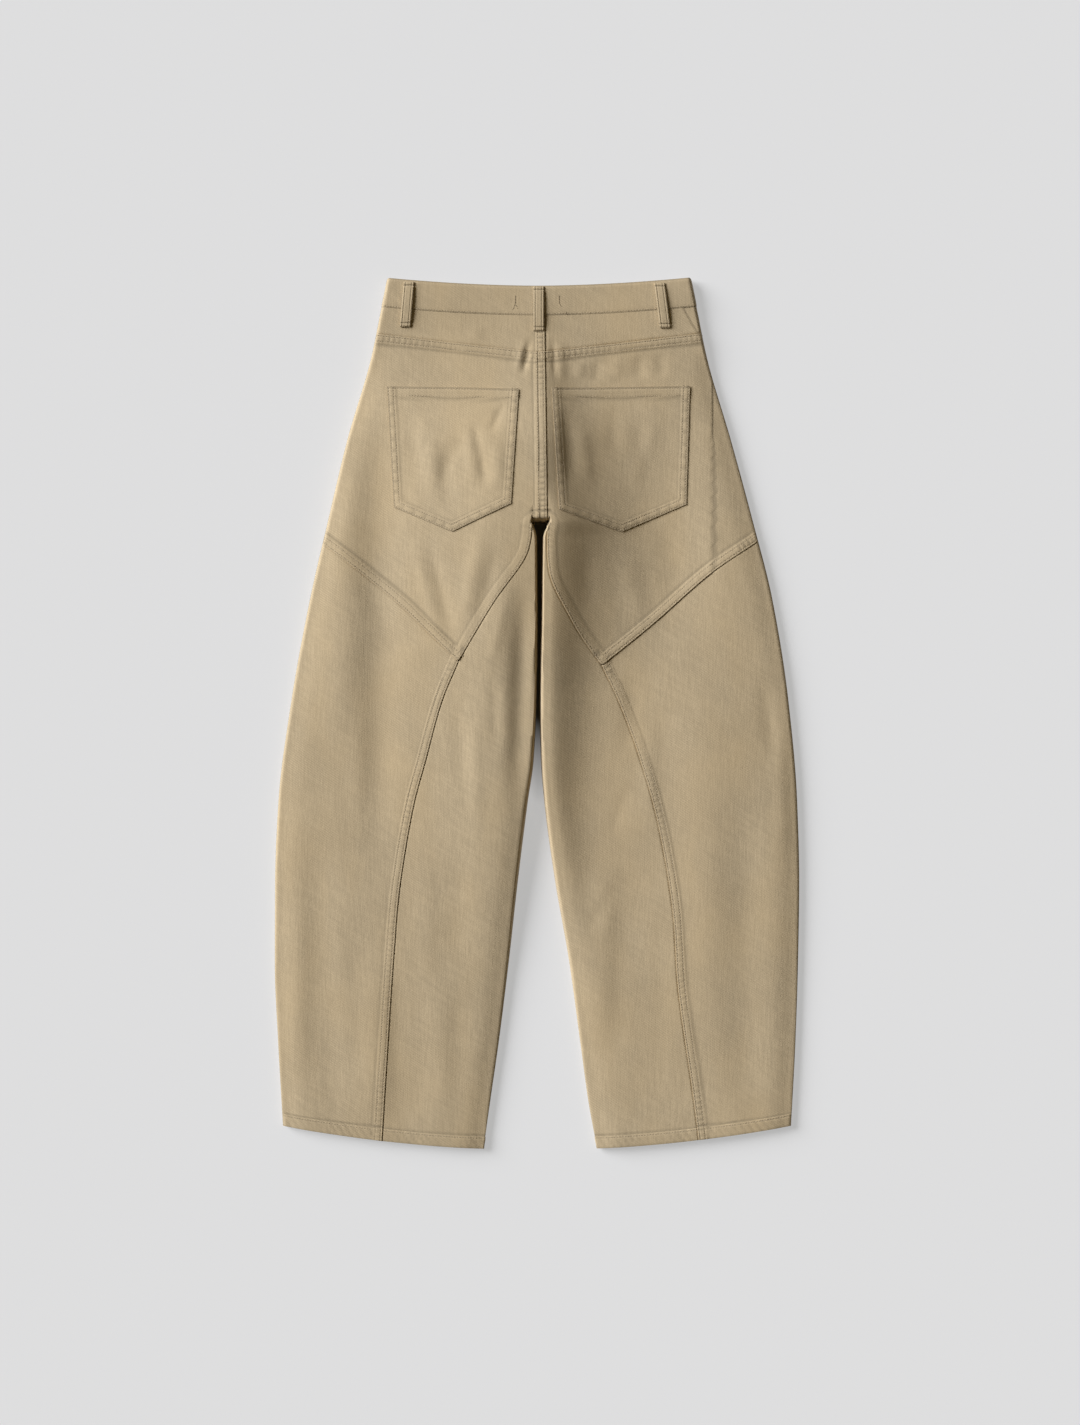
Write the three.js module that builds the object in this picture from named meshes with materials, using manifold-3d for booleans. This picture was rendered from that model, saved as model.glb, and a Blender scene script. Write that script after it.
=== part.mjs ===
// Barrel leg trousers, laid flat with the back up. Millimetres.
// x is across, y is up the garment from its middle, z is up from the surface it lies on.
import * as THREE from 'three';
import Module from 'manifold-3d';

const wasm = await Module();
wasm.setup();
const { Manifold, Mesh: SolidMesh } = wasm;

// Driving sizes
const WAIST_Y = 511.3;          // waist edge at the centre back
const WAIST_RISE = 9.7;         // how far it climbs to the side
const WAIST_HALF = 182;
const FRONT_DIP = 9;            // the front waist edge lies this much lower at its centre
const HEM_Y = -522.6;
const HEM_RISE = 29;
const HEM_HALF = 304;
const CROTCH_Y = 229;
const BAND_DEPTH = 35.5;        // waistband
const YOKE_Y = 431;             // point of the yoke at the centre back
const YOKE_SLOPE = 0.118;
const CLOTH = 1.4;              // twill with its seam allowance
const BAND_CLOTH = 2.4;         // waistband, two layers and a facing
const BAND_PROUD = 0.5;         // the band stands out past the panels
const POCKET_CLOTH = 1.3;
const SEAM = 0.3;               // space between sewn pieces
const OVERCUT = 3;              // cloth past a seam before it is cut to it
const LIFT = 2.4;               // the front top is held up by its loops and button
const OUTER_ROLL = 4;           // width in which the cloth turns over at a leg's outer edge
const LEFT_ROLL = 9;            // the same at the left leg's inner edge, by the crotch
const RIGHT_ROLL = 12;          // the same at the right leg's inner edge, by the crotch
const CROTCH_ROLL = 4;          // the same across the crotch
const OUTER_MID = 5;            // height of the side seam
const INNER_MID = 9;            // height of the inseam at the crotch
const CREST_SPREAD = 180;       // the centre ridge falls gently to the left over this width
const CREST_X = 2;              // left foot of the ridge's top on the seat
const RIDGE_TOP = 29;           // most that the ridge rises above the pile
const SLOPE_FORM = 1.6;         // below 2, the ridge's right slope is straighter
const PARTING = 55;             // the ridge parts into two this far above the crotch
const PARTING_LENGTH = 80;
const EDGE_DROP = 3;            // the cloth falls this much towards its folded edges
const EDGE_SPREAD = 18;
const DROP_FROM = 450;          // not above this, where the waistband holds it up
const DROP_LENGTH = 60;
const FOLD_END = 0.35;          // share of a fold over which each end fades
const LIFT_FROM = 400;          // the front begins to lift here
const LIFT_LENGTH = 50;
const TURNS = [0, Math.PI / 6, Math.PI / 3];    // columns round a rolled edge

// Outline: the outer edges at heights up the garment
const OUTLINE = [
  { y: 521, left: -179, right: 184 },
  { y: 482, left: -187, right: 192 },
  { y: 424, left: -199, right: 204 },
  { y: 328, left: -227, right: 232 },
  { y: 232, left: -250, right: 258 },
  { y: 136, left: -272, right: 282 },
  { y: 16, left: -294, right: 301 },
  { y: -104, left: -309.5, right: 311.5 },
  { y: -200, left: -313.6, right: 314 },
  { y: -300, left: -314, right: 312.5 },
  { y: -392, left: -310, right: 309.5 },
  { y: -496, left: -304, right: 304 },
];

// Gap between the legs: their inner edges below the crotch
const GAP = [
  { y: 229, left: -5, right: 14 },
  { y: 208, left: 0, right: 6.4 },
  { y: 112, left: 0.4, right: 5.4 },
  { y: 16, left: -1, right: 3.4 },
  { y: -56, left: -4, right: 4.8 },
  { y: -104, left: -10.8, right: 8.6 },
  { y: -200, left: -22.8, right: 21.6 },
  { y: -296, left: -33.6, right: 38.4 },
  { y: -392, left: -45.6, right: 51.6 },
  { y: -464, left: -56, right: 61.5 },
  { y: -521, left: -64, right: 72 },
];

// Heights: the cloth pile, the ridge on the seat and inner legs, and the width of its right slope
const HEIGHTS = [
  { y: 521, pile: 14.2, ridge: 0, slope: 24 },
  { y: 461, pile: 13.6, ridge: 1.5, slope: 24 },
  { y: 400, pile: 12.5, ridge: 11, slope: 32 },
  { y: 320, pile: 13, ridge: 26, slope: 48 },
  { y: 230, pile: 13, ridge: 29, slope: 54 },
  { y: 120, pile: 13, ridge: 23, slope: 50 },
  { y: 20, pile: 13, ridge: 16, slope: 36 },
  { y: -90, pile: 13, ridge: 11, slope: 27 },
  { y: -200, pile: 12.5, ridge: 6, slope: 24 },
  { y: -330, pile: 11.5, ridge: 2, slope: 24 },
  { y: -521, pile: 10.5, ridge: 0, slope: 24 },
];

// Folds: each runs between two points, with a half width and a height (below 0 a trough)
const FOLDS = [
  { x0: -230, y0: 400, x1: -232, y1: -90, width: 27, height: 3.2 },
  { x0: -190, y0: 420, x1: -186, y1: -240, width: 25, height: -3 },
  { x0: -78, y0: 270, x1: -58, y1: -340, width: 52, height: 4 },
  { x0: -15, y0: 170, x1: -26, y1: -130, width: 12, height: -3.5 },
  { x0: -264, y0: -120, x1: -262, y1: -470, width: 18, height: -1.2 },
  { x0: -192, y0: -260, x1: -190, y1: -515, width: 24, height: 2 },
  { x0: -116, y0: -280, x1: -110, y1: -515, width: 21, height: 1.6 },
  { x0: 84, y0: -150, x1: 74, y1: -430, width: 17, height: 2.2 },
  { x0: 205, y0: 150, x1: 212, y1: -500, width: 48, height: 3.2 },
  { x0: 246, y0: -90, x1: 248, y1: -500, width: 22, height: -1.4 },
  { x0: 146, y0: 390, x1: 160, y1: 60, width: 42, height: -3.5 },
];

// Seams that show on the back, from point to point
const DIAGONAL_LEFT = [[-275, 218], [-201.6, 161], [-163, 129], [-126, 93], [-93.6, 62.4]];
const DIAGONAL_RIGHT = [[285, 223], [206, 166], [138.6, 107], [77.5, 57.6]];
const CURVED_LEFT = [
  [-6, 240], [-8, 205], [-17, 180], [-52.3, 131], [-93.6, 62.4], [-114.4, 12], [-132.7, -54.6],
  [-148.8, -116], [-164, -207], [-171, -285], [-178, -389], [-186, -540],
];
const CURVED_RIGHT = [
  [14.5, 240], [12, 205], [16, 162], [36, 121], [55, 88.7], [77.5, 57.6], [100, 9.4],
  [123.6, -56], [145, -133], [162, -233], [169, -331], [185.4, -446], [196, -540],
];
const CENTRE_TOP_X = 8.4;       // the centre back seam leans to the right as it goes down
const CENTRE_FOOT_X = 12;
const FRONT_SEAM_X = 4.5;
const GAP_X = 4;                // middle of the narrow gap between the legs
const INNER_TOP = 226;          // the inner leg panels end here, just under the crotch

// Back pockets: corners and the point of the lower edge
const POCKETS = [
  { name: 'left', topLeft: [-178.8, 390.4], topRight: [-21.6, 386.3], footLeft: [-170.4, 245.6],
    footRight: [-30.6, 249], point: [-100.8, 216] },
  { name: 'right', topLeft: [17.5, 388.2], topRight: [182.9, 391.4], footLeft: [26.4, 242.2],
    footRight: [178.8, 250.2], point: [101.3, 217] },
];

// Belt loops: the middle at the top and bottom end, and which side of the garment they are on
const LOOP_WIDTH = 12.6;
const LOOP_CLOTH = 1.5;
const LOOP_GAP = 0.4;
const LOOP_BOW = 0.9;           // the middle stands off the band a little more
const LOOPS = [
  { name: 'left', x0: -153, y0: 515.5, x1: -157.5, y1: 462, side: 'back' },
  { name: 'centre', x0: 2, y0: 510.2, x1: 2, y1: 457, side: 'back' },
  { name: 'right', x0: 146, y0: 514.5, x1: 153, y1: 461, side: 'back' },
  { name: 'front_left', x0: -90, y0: 504.5, x1: -93, y1: 459, side: 'front' },
  { name: 'front_right', x0: 96, y0: 505, x1: 99, y1: 459, side: 'front' },
];

const BUTTON_RADIUS = 8.5;
const BUTTON_THICK = 1.5;
const BUTTON_BEVEL = 0.6;
const UNDERLAP = 34;            // the waistband's ends lap this much at the button

const TWILL = new THREE.MeshStandardMaterial({ color: 0xb5a282, roughness: 0.92 });
const METAL = new THREE.MeshStandardMaterial({ color: 0x6a6156, roughness: 0.35, metalness: 0.9 });

// Smooth monotone curve through a table's rows, by the named columns; rows run down in y
function column(rows, name) {
  const ys = rows.map((row) => -row.y);
  const vs = rows.map((row) => row[name]);
  const steps = vs.slice(1).map((v, i) => (v - vs[i]) / (ys[i + 1] - ys[i]));
  const slopes = vs.map((v, i) => {
    if (i === 0) return steps[0];
    if (i === vs.length - 1) return steps[i - 1];
    if (steps[i - 1] * steps[i] <= 0) return 0;
    return (2 * steps[i - 1] * steps[i]) / (steps[i - 1] + steps[i]);
  });
  return (y) => {
    const at = Math.min(Math.max(-y, ys[0]), ys[ys.length - 1]);
    let i = 0;
    while (i < ys.length - 2 && at > ys[i + 1]) i += 1;
    const span = ys[i + 1] - ys[i];
    const t = (at - ys[i]) / span;
    const keep = (1 + 2 * t) * (1 - t) ** 2 * vs[i] + t * t * (3 - 2 * t) * vs[i + 1];
    return keep + span * t * (1 - t) * ((1 - t) * slopes[i] - t * slopes[i + 1]);
  };
}

const leftEdge = column(OUTLINE, 'left');
const rightEdge = column(OUTLINE, 'right');
const gapLeft = column(GAP, 'left');
const gapRight = column(GAP, 'right');
const pileHeight = column(HEIGHTS, 'pile');
const ridgeHeight = column(HEIGHTS, 'ridge');
const ridgeSlope = column(HEIGHTS, 'slope');

const lerp = (a, b, t) => a + (b - a) * t;
const smooth = (t) => {
  const s = Math.min(Math.max(t, 0), 1);
  return s * s * (3 - 2 * s);
};
const waistY = (x) => WAIST_Y + WAIST_RISE * (Math.abs(x) / WAIST_HALF) ** 1.8;
const frontWaistY = (x) => waistY(x) - FRONT_DIP * Math.max(0, 1 - (x / WAIST_HALF) ** 2);
const hemY = (x) => HEM_Y + HEM_RISE * Math.min(Math.abs(x) / HEM_HALF, 1) ** 1.9;
const yokeY = (x) => YOKE_Y + YOKE_SLOPE * Math.abs(x);
const centreX = (y) => lerp(CENTRE_FOOT_X, CENTRE_TOP_X, (y - CROTCH_Y) / (WAIST_Y - CROTCH_Y));

// Height of one fold at a point, with soft ends
function foldHeight(x, y, fold) {
  const ax = fold.x1 - fold.x0;
  const ay = fold.y1 - fold.y0;
  const length = Math.hypot(ax, ay);
  const along = ((x - fold.x0) * ax + (y - fold.y0) * ay) / (length * length);
  const off = ((x - fold.x0) * ay - (y - fold.y0) * ax) / length;
  const ends = smooth(Math.min(along, 1 - along) / FOLD_END);
  return fold.height * ends * Math.exp(-((off / fold.width) ** 2));
}

// Height of the back's outer face away from the rolled edges
function backHeight(x, y) {
  const legs = smooth((CROTCH_Y + PARTING - y) / PARTING_LENGTH);
  const left = lerp(CREST_X, gapLeft(y) - LEFT_ROLL, legs);
  const right = lerp(CENTRE_TOP_X, gapRight(y) + RIGHT_ROLL, legs);
  const leftShare = Math.max(left - x, 0) / CREST_SPREAD;
  const rightShare = Math.max(x - right, 0) / ridgeSlope(y);
  const away = leftShare ** 2 + rightShare ** SLOPE_FORM;
  const ridge = ridgeHeight(y) * Math.exp(-away);
  const outer = Math.min(x - leftEdge(y), rightEdge(y) - x);
  const inner = Math.max(gapLeft(y) - x, x - gapRight(y), 0);
  const falls = Math.exp(-((outer / EDGE_SPREAD) ** 2))
    + (1 - ridgeHeight(y) / RIDGE_TOP) * legs * Math.exp(-((inner / EDGE_SPREAD) ** 2));
  const drop = EDGE_DROP * smooth((DROP_FROM - y) / DROP_LENGTH) * falls;
  return FOLDS.reduce((sum, fold) => sum + foldHeight(x, y, fold), pileHeight(y) + ridge - drop);
}

// Nearest folded edge: distance over its roll, way out, and height of its seam
function nearestEdge(x, y) {
  const fade = ridgeHeight(y) / RIDGE_TOP;
  const above = Math.max(y - CROTCH_Y, 0);
  const aside = Math.max(gapLeft(y) - x, x - gapRight(y), 0);
  const inner = Math.hypot(aside, above);
  const way = x < gapLeft(y) ? 1 : x > gapRight(y) ? -1 : 0;
  const out = inner > 0.01 ? [(way * aside) / inner, -above / inner] : [way, way ? 0 : -1];
  const sideRoll = x < lerp(gapLeft(y), gapRight(y), 0.5) ? LEFT_ROLL : RIGHT_ROLL;
  const fullRoll = sideRoll * out[0] ** 2 + CROTCH_ROLL * out[1] ** 2;
  const innerRoll = lerp(OUTER_ROLL, fullRoll, fade);
  const innerMid = lerp(OUTER_MID, INNER_MID, fade);
  const edges = [
    { t: (x - leftEdge(y)) / OUTER_ROLL, out: [-1, 0], mid: OUTER_MID, roll: OUTER_ROLL },
    { t: (rightEdge(y) - x) / OUTER_ROLL, out: [1, 0], mid: OUTER_MID, roll: OUTER_ROLL },
    { t: inner / innerRoll, mid: innerMid, roll: innerRoll, out },
  ];
  const nearest = edges.reduce((a, b) => (b.t < a.t ? b : a));
  return { ...nearest, t: Math.min(Math.max(nearest.t, 0), 1) };
}

// Outer face of the back at a point, and the way out of it
function backPoint(x, y) {
  const edge = nearestEdge(x, y);
  const rise = Math.sqrt(1 - (1 - edge.t) ** 2);
  const step = 0.5;
  const height = backHeight(x, y);
  const slopeX = (backHeight(x + step, y) - height) / step;
  const slopeY = (backHeight(x, y + step) - height) / step;
  const turn = ((height - edge.mid) * (1 - edge.t)) / edge.roll;
  const normal = new THREE.Vector3(
    -slopeX * rise * rise + edge.out[0] * turn,
    -slopeY * rise * rise + edge.out[1] * turn,
    rise,
  );
  const z = edge.mid + SEAM / 2 + (height - edge.mid - SEAM / 2) * rise;
  return { point: new THREE.Vector3(x, y, z), normal: normal.normalize() };
}

// Outer face of the front, which lies on the surface
function frontPoint(x, y) {
  const edge = nearestEdge(x, y);
  const rise = Math.sqrt(1 - (1 - edge.t) ** 2);
  const lift = LIFT * smooth((y - LIFT_FROM) / LIFT_LENGTH);
  const drop = edge.mid - SEAM / 2 - lift;
  const turn = (drop * (1 - edge.t)) / edge.roll;
  const normal = new THREE.Vector3(edge.out[0] * turn, edge.out[1] * turn, -rise);
  return { point: new THREE.Vector3(x, y, lift + drop * (1 - rise)), normal: normal.normalize() };
}

// Shares of a span from a rolled edge inwards: four round the roll, then even steps
function spanShares(steps, rollStart, rollEnd) {
  const start = TURNS.map((turn) => ({ mm: (1 - Math.cos(turn)) * rollStart, from: 0 }));
  const end = TURNS.map((turn) => ({ mm: (1 - Math.cos(turn)) * rollEnd, from: 1 })).reverse();
  const middle = Array.from({ length: steps + 1 }, (_, i) => ({ share: i / steps }));
  return [...start, ...middle, ...end].map((item) => ({ ...item, rollStart, rollEnd }));
}

function spanAt(item, a, b) {
  if (item.from === 0) return a + item.mm;
  if (item.from === 1) return b - item.mm;
  return lerp(a + item.rollStart, b - item.rollEnd, item.share);
}

// Columns across both legs, and the bridge between them above the crotch
function columnsAcross(steps) {
  const left = spanShares(steps, OUTER_ROLL, LEFT_ROLL);
  const right = spanShares(steps, RIGHT_ROLL, OUTER_ROLL);
  return [
    ...left.map((item) => ({ leg: 'left', x: (y) => spanAt(item, leftEdge(y), gapLeft(y)) })),
    { leg: 'bridge', x: (y) => lerp(gapLeft(y), gapRight(y), 1 / 3) },
    { leg: 'bridge', x: (y) => lerp(gapLeft(y), gapRight(y), 2 / 3) },
    ...right.map((item) => ({ leg: 'right', x: (y) => spanAt(item, gapRight(y), rightEdge(y)) })),
  ];
}

// Rows from the hem to the crotch and on to the top edge
function rowsUp(legSteps, trunkSteps, topAt) {
  const rows = [];
  for (let j = 0; j < legSteps; j += 1) {
    rows.push({ leg: true, y: (x) => lerp(hemY(x), CROTCH_Y, j / legSteps) });
  }
  TURNS.forEach((turn) => {
    rows.push({ leg: false, y: () => CROTCH_Y + (1 - Math.cos(turn)) * CROTCH_ROLL });
  });
  const start = CROTCH_Y + CROTCH_ROLL;
  for (let j = 0; j <= trunkSteps; j += 1) {
    rows.push({ leg: false, y: (x) => lerp(start, topAt(x), j / trunkSteps) });
  }
  return rows;
}

// Point of a grid where a column meets a row
function crossing(col, row) {
  let x = col.x(row.y(0));
  for (let i = 0; i < 12; i += 1) x = col.x(row.y(x));
  return { x, y: row.y(x) };
}

// Closed wall through a grid of faces: outer points moved out by `outer`, inner ones by `inner`
function wall(grid, isOpen, face, outer, inner) {
  const across = grid[0].length;
  const points = [];
  grid.forEach((line) => line.forEach(({ x, y }) => {
    const { point, normal } = face(x, y);
    points.push(point.clone().addScaledVector(normal, outer));
    points.push(point.clone().addScaledVector(normal, inner));
  }));
  const id = (i, j, side) => 2 * (j * across + i) + side;
  const triangles = [];
  const quad = (a, b, c, d) => {
    const even = points[a].distanceTo(points[c]) <= points[b].distanceTo(points[d]);
    triangles.push(...(even ? [a, b, c, a, c, d] : [a, b, d, b, c, d]));
  };
  const filled = (i, j) => i >= 0 && j >= 0 && i < across - 1 && j < grid.length - 1 && !isOpen(i, j);
  for (let j = 0; j < grid.length - 1; j += 1) {
    for (let i = 0; i < across - 1; i += 1) {
      if (!filled(i, j)) continue;
      quad(id(i, j, 0), id(i + 1, j, 0), id(i + 1, j + 1, 0), id(i, j + 1, 0));
      quad(id(i, j + 1, 1), id(i + 1, j + 1, 1), id(i + 1, j, 1), id(i, j, 1));
      const rim = (i0, j0, i1, j1) => {
        quad(id(i0, j0, 1), id(i1, j1, 1), id(i1, j1, 0), id(i0, j0, 0));
      };
      if (!filled(i, j - 1)) rim(i, j, i + 1, j);
      if (!filled(i + 1, j)) rim(i + 1, j, i + 1, j + 1);
      if (!filled(i, j + 1)) rim(i + 1, j + 1, i, j + 1);
      if (!filled(i - 1, j)) rim(i, j + 1, i, j);
    }
  }
  return solid(points, triangles);
}

// Manifold solid from points and triangles, turned outside out where needed
function solid(points, triangles) {
  const used = [...new Set(triangles)];
  const place = new Map(used.map((old, i) => [old, i]));
  const vertProperties = new Float32Array(used.flatMap((old) => points[old].toArray()));
  let corners = triangles.map((old) => place.get(old));
  const volume = (list) => {
    let sum = 0;
    for (let i = 0; i < list.length; i += 3) {
      const [a, b, c] = list.slice(i, i + 3).map((k) => points[used[k]]);
      sum += a.dot(b.clone().cross(c));
    }
    return sum;
  };
  if (volume(corners) < 0) corners = corners.reverse();
  return new Manifold(new SolidMesh({ numProp: 3, vertProperties, triVerts: new Uint32Array(corners) }));
}

// Far corners of the plan outlines that cut the walls
const SIDE = 340;
const ABOVE = 600;
const BELOW = -540;
const CUT_HEIGHT = 80;

// Straight-sided block over a plan outline
const block = (outline) => Manifold.extrude([outline], CUT_HEIGHT).translate([0, 0, -CUT_HEIGHT / 8]);

// Points of a smooth line through the given ones
function smoothLine(points, step = 12) {
  const curve = new THREE.SplineCurve(points.map(([x, y]) => new THREE.Vector2(x, y)));
  const count = Math.max(2, Math.round(curve.getLength() / step));
  return curve.getSpacedPoints(count).map((p) => [p.x, p.y]);
}

// The narrow space that a seam leaves between two panels
function seamCut(line) {
  const sides = [-1, 1].map((side) => line.map(([x, y], i) => {
    const [ax, ay] = line[Math.max(i - 1, 0)];
    const [bx, by] = line[Math.min(i + 1, line.length - 1)];
    const length = Math.hypot(bx - ax, by - ay);
    const off = (side * SEAM) / 2 / length;
    return [x - (by - ay) * off, y + (bx - ax) * off];
  }));
  const outline = [...sides[0], ...sides[1].reverse()];
  return block(outline);
}

// Line across the garment at a height that varies with x
function lineAcross(yAt) {
  const line = [];
  for (let x = -SIDE; x <= SIDE; x += 20) line.push([x, yAt(x)]);
  return line;
}

// Largest piece of a cut solid, as a named mesh
function named(name, shape, material) {
  const pieces = shape.decompose().sort((a, b) => b.volume() - a.volume());
  const mesh = pieces[0].getMesh();
  const geometry = new THREE.BufferGeometry();
  const positions = [];
  for (let i = 0; i < mesh.numVert; i += 1) {
    positions.push(...mesh.vertProperties.slice(i * mesh.numProp, i * mesh.numProp + 3));
  }
  geometry.setAttribute('position', new THREE.Float32BufferAttribute(positions, 3));
  geometry.setIndex(Array.from(mesh.triVerts));
  geometry.computeVertexNormals();
  const item = new THREE.Mesh(geometry, material);
  item.name = name;
  return item;
}

// Whole back or front as one wall, open between the legs
function bodyWall(face, topAt, { steps, legSteps, trunkSteps, outer, inner }) {
  const cols = columnsAcross(steps);
  const rows = rowsUp(legSteps, trunkSteps, topAt);
  const grid = rows.map((row) => cols.map((col) => crossing(col, row)));
  const isOpen = (i, j) => rows[j].leg && (cols[i].leg === 'bridge' || cols[i + 1].leg === 'bridge');
  return wall(grid, isOpen, face, outer, inner);
}

// Everything above or below the waistband's seam, short of it by half the seam's space
function bandSide(topAt, side) {
  const seam = lineAcross((x) => topAt(x) - BAND_DEPTH + (side * SEAM) / 2);
  const far = side > 0 ? ABOVE : BELOW;
  return block(ccw([...seam, [SIDE, far], [-SIDE, far]]));
}

// Wall of the whole back below the waistband, between two faces moved out from its own
function backWall(outer, inner) {
  const topAt = (x) => waistY(x) - BAND_DEPTH + OVERCUT;
  const size = { steps: 9, legSteps: 28, trunkSteps: 10, outer, inner };
  return bodyWall(backPoint, topAt, size).intersect(bandSide(waistY, -1));
}

// Panels of the back, parted at the seams
function backPanels() {
  const whole = backWall(0, -CLOTH);
  const curvedLeft = smoothLine(CURVED_LEFT);
  const curvedRight = smoothLine(CURVED_RIGHT);
  const diagonalLeft = smoothLine(DIAGONAL_LEFT);
  const diagonalRight = smoothLine(DIAGONAL_RIGHT);
  const yoke = lineAcross(yokeY);
  const low = CROTCH_Y - CROTCH_ROLL;
  const centre = [[centreX(ABOVE), ABOVE], [centreX(low), low]];
  const seams = [curvedLeft, curvedRight, diagonalLeft, diagonalRight, yoke, centre];
  const parted = Manifold.difference([whole, ...seams.map((line) => seamCut(line))]);
  const upTo = (line, point) => {
    const near = ([x, y]) => Math.hypot(x - point[0], y - point[1]);
    const best = line.reduce((a, b) => (near(b) < near(a) ? b : a));
    return line.indexOf(best);
  };
  const crossLeft = DIAGONAL_LEFT[DIAGONAL_LEFT.length - 1];
  const crossRight = DIAGONAL_RIGHT[DIAGONAL_RIGHT.length - 1];
  const splitLeft = upTo(curvedLeft, crossLeft);
  const splitRight = upTo(curvedRight, crossRight);
  const yokeLeft = [...yoke.filter(([x]) => x < CENTRE_TOP_X), [centreX(YOKE_Y), YOKE_Y]];
  const yokeRight = [[centreX(YOKE_Y), YOKE_Y], ...yoke.filter(([x]) => x > CENTRE_TOP_X)];
  const regions = {
    yoke_left: [...yokeLeft, centre[0], [-SIDE, ABOVE]],
    yoke_right: [...yokeRight, [SIDE, ABOVE], centre[0]],
    seat_left: [...yokeLeft, centre[1], curvedLeft[0], ...curvedLeft.slice(1, splitLeft),
      ...diagonalLeft.slice().reverse()],
    seat_right: [...yokeRight, ...diagonalRight, ...curvedRight.slice(0, splitRight).reverse(),
      centre[1]],
    inner_left: [...curvedLeft, [GAP_X, BELOW], [GAP_X, INNER_TOP], [CURVED_LEFT[0][0], INNER_TOP]],
    inner_right: [...curvedRight, [GAP_X, BELOW], [GAP_X, INNER_TOP], [CURVED_RIGHT[0][0], INNER_TOP]],
    outer_left: [...diagonalLeft, ...curvedLeft.slice(splitLeft + 1), [-SIDE, BELOW],
      [-SIDE, DIAGONAL_LEFT[0][1]]],
    outer_right: [...diagonalRight, ...curvedRight.slice(splitRight + 1), [SIDE, BELOW],
      [SIDE, DIAGONAL_RIGHT[0][1]]],
  };
  return Object.entries(regions).map(([name, outline]) => {
    return named(name, parted.intersect(block(ccw(outline))), TWILL);
  });
}

// Outline with its points in the order that an extrusion needs
function ccw(outline) {
  const area = outline.reduce((sum, [x, y], i) => {
    const [nx, ny] = outline[(i + 1) % outline.length];
    return sum + x * ny - nx * y;
  }, 0);
  return area > 0 ? outline : outline.slice().reverse();
}

// Front panels, plain, meeting at the centre front seam
function frontPanels() {
  const topAt = (x) => frontWaistY(x) - BAND_DEPTH + OVERCUT;
  const size = { steps: 4, legSteps: 14, trunkSteps: 6, outer: 0, inner: -CLOTH };
  const whole = bodyWall(frontPoint, topAt, size).intersect(bandSide(frontWaistY, -1));
  const seam = [[FRONT_SEAM_X, ABOVE], [FRONT_SEAM_X, CROTCH_Y - CROTCH_ROLL]];
  const parted = whole.subtract(seamCut(seam));
  return [['front_left', -1], ['front_right', 1]].map(([name, side]) => {
    const far = side * SIDE;
    const half = block(ccw([[FRONT_SEAM_X, ABOVE], [FRONT_SEAM_X, BELOW], [far, BELOW], [far, ABOVE]]));
    return named(name, parted.intersect(half), TWILL);
  });
}

// Band along the top edge between two places across it
function bandPiece(name, face, topAt, xFrom, xTo, steps, lift = 0) {
  const turns = TURNS.map((turn) => (1 - Math.cos(turn)) * OUTER_ROLL);
  const grid = [1, 0.5, 0].map((down) => {
    const line = [];
    const yAt = (x) => topAt(x) - (BAND_DEPTH + OVERCUT) * down;
    const a = xFrom === 'edge' ? leftEdge(yAt(-WAIST_HALF)) : xFrom;
    const b = xTo === 'edge' ? rightEdge(yAt(WAIST_HALF)) : xTo;
    const start = xFrom === 'edge' ? turns.map((mm) => a + mm) : [];
    const end = xTo === 'edge' ? turns.map((mm) => b - mm).reverse() : [];
    const inA = xFrom === 'edge' ? a + OUTER_ROLL : a;
    const inB = xTo === 'edge' ? b - OUTER_ROLL : b;
    for (let i = 0; i <= steps; i += 1) line.push(lerp(inA, inB, i / steps));
    return [...start, ...line, ...end].map((x) => ({ x, y: yAt(x) }));
  });
  const outer = BAND_PROUD - lift;
  const strip = wall(grid, () => false, face, outer, outer - BAND_CLOTH);
  return named(name, strip.intersect(bandSide(topAt, 1)), TWILL);
}

// Waistband: the back, and two front ends; an inner tab from the right one laps behind the left
function waistband() {
  const lap = BAND_CLOTH + SEAM;
  const leftEnd = FRONT_SEAM_X + UNDERLAP / 2;
  const tabEnd = FRONT_SEAM_X - UNDERLAP / 2;
  const rightStart = leftEnd + SEAM;
  return [
    bandPiece('waistband_back', backPoint, waistY, 'edge', 'edge', 14),
    bandPiece('waistband_front_left', frontPoint, frontWaistY, 'edge', leftEnd, 7),
    bandPiece('waistband_front_right', frontPoint, frontWaistY, rightStart, 'edge', 6),
    bandPiece('waistband_underlap', frontPoint, frontWaistY, tabEnd, rightStart, 2, lap),
  ];
}

// Patch pockets: the back's own face moved out, cut to the pocket's outline
function pockets() {
  const layer = backWall(SEAM + POCKET_CLOTH, SEAM);
  return POCKETS.map(({ name, topLeft, topRight, footLeft, footRight, point }) => {
    const outline = [topLeft, topRight, footRight, point, footLeft];
    return named(`pocket_${name}`, layer.intersect(block(ccw(outline))), TWILL);
  });
}

// Belt loop: a strip over the band and on to the panel below it
function beltLoop({ name, x0, y0, x1, y1, side }) {
  const face = side === 'back' ? backPoint : frontPoint;
  const steps = 8;
  const grid = [];
  for (let j = 0; j <= steps; j += 1) {
    const t = j / steps;
    grid.push([-0.5, 0.5].map((off) => ({
      x: lerp(x1, x0, t) + off * LOOP_WIDTH,
      y: lerp(y1, y0, t),
    })));
  }
  const bow = (y) => (side === 'back' ? LOOP_BOW * Math.sin((Math.PI * (y - y1)) / (y0 - y1)) : 0);
  const bowed = (x, y) => {
    const { point, normal } = face(x, y);
    return { point: point.addScaledVector(normal, bow(y)), normal };
  };
  const base = BAND_PROUD + LOOP_GAP;
  return named(`loop_${name}`, wall(grid, () => false, bowed, base + LOOP_CLOTH, base), TWILL);
}

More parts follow.
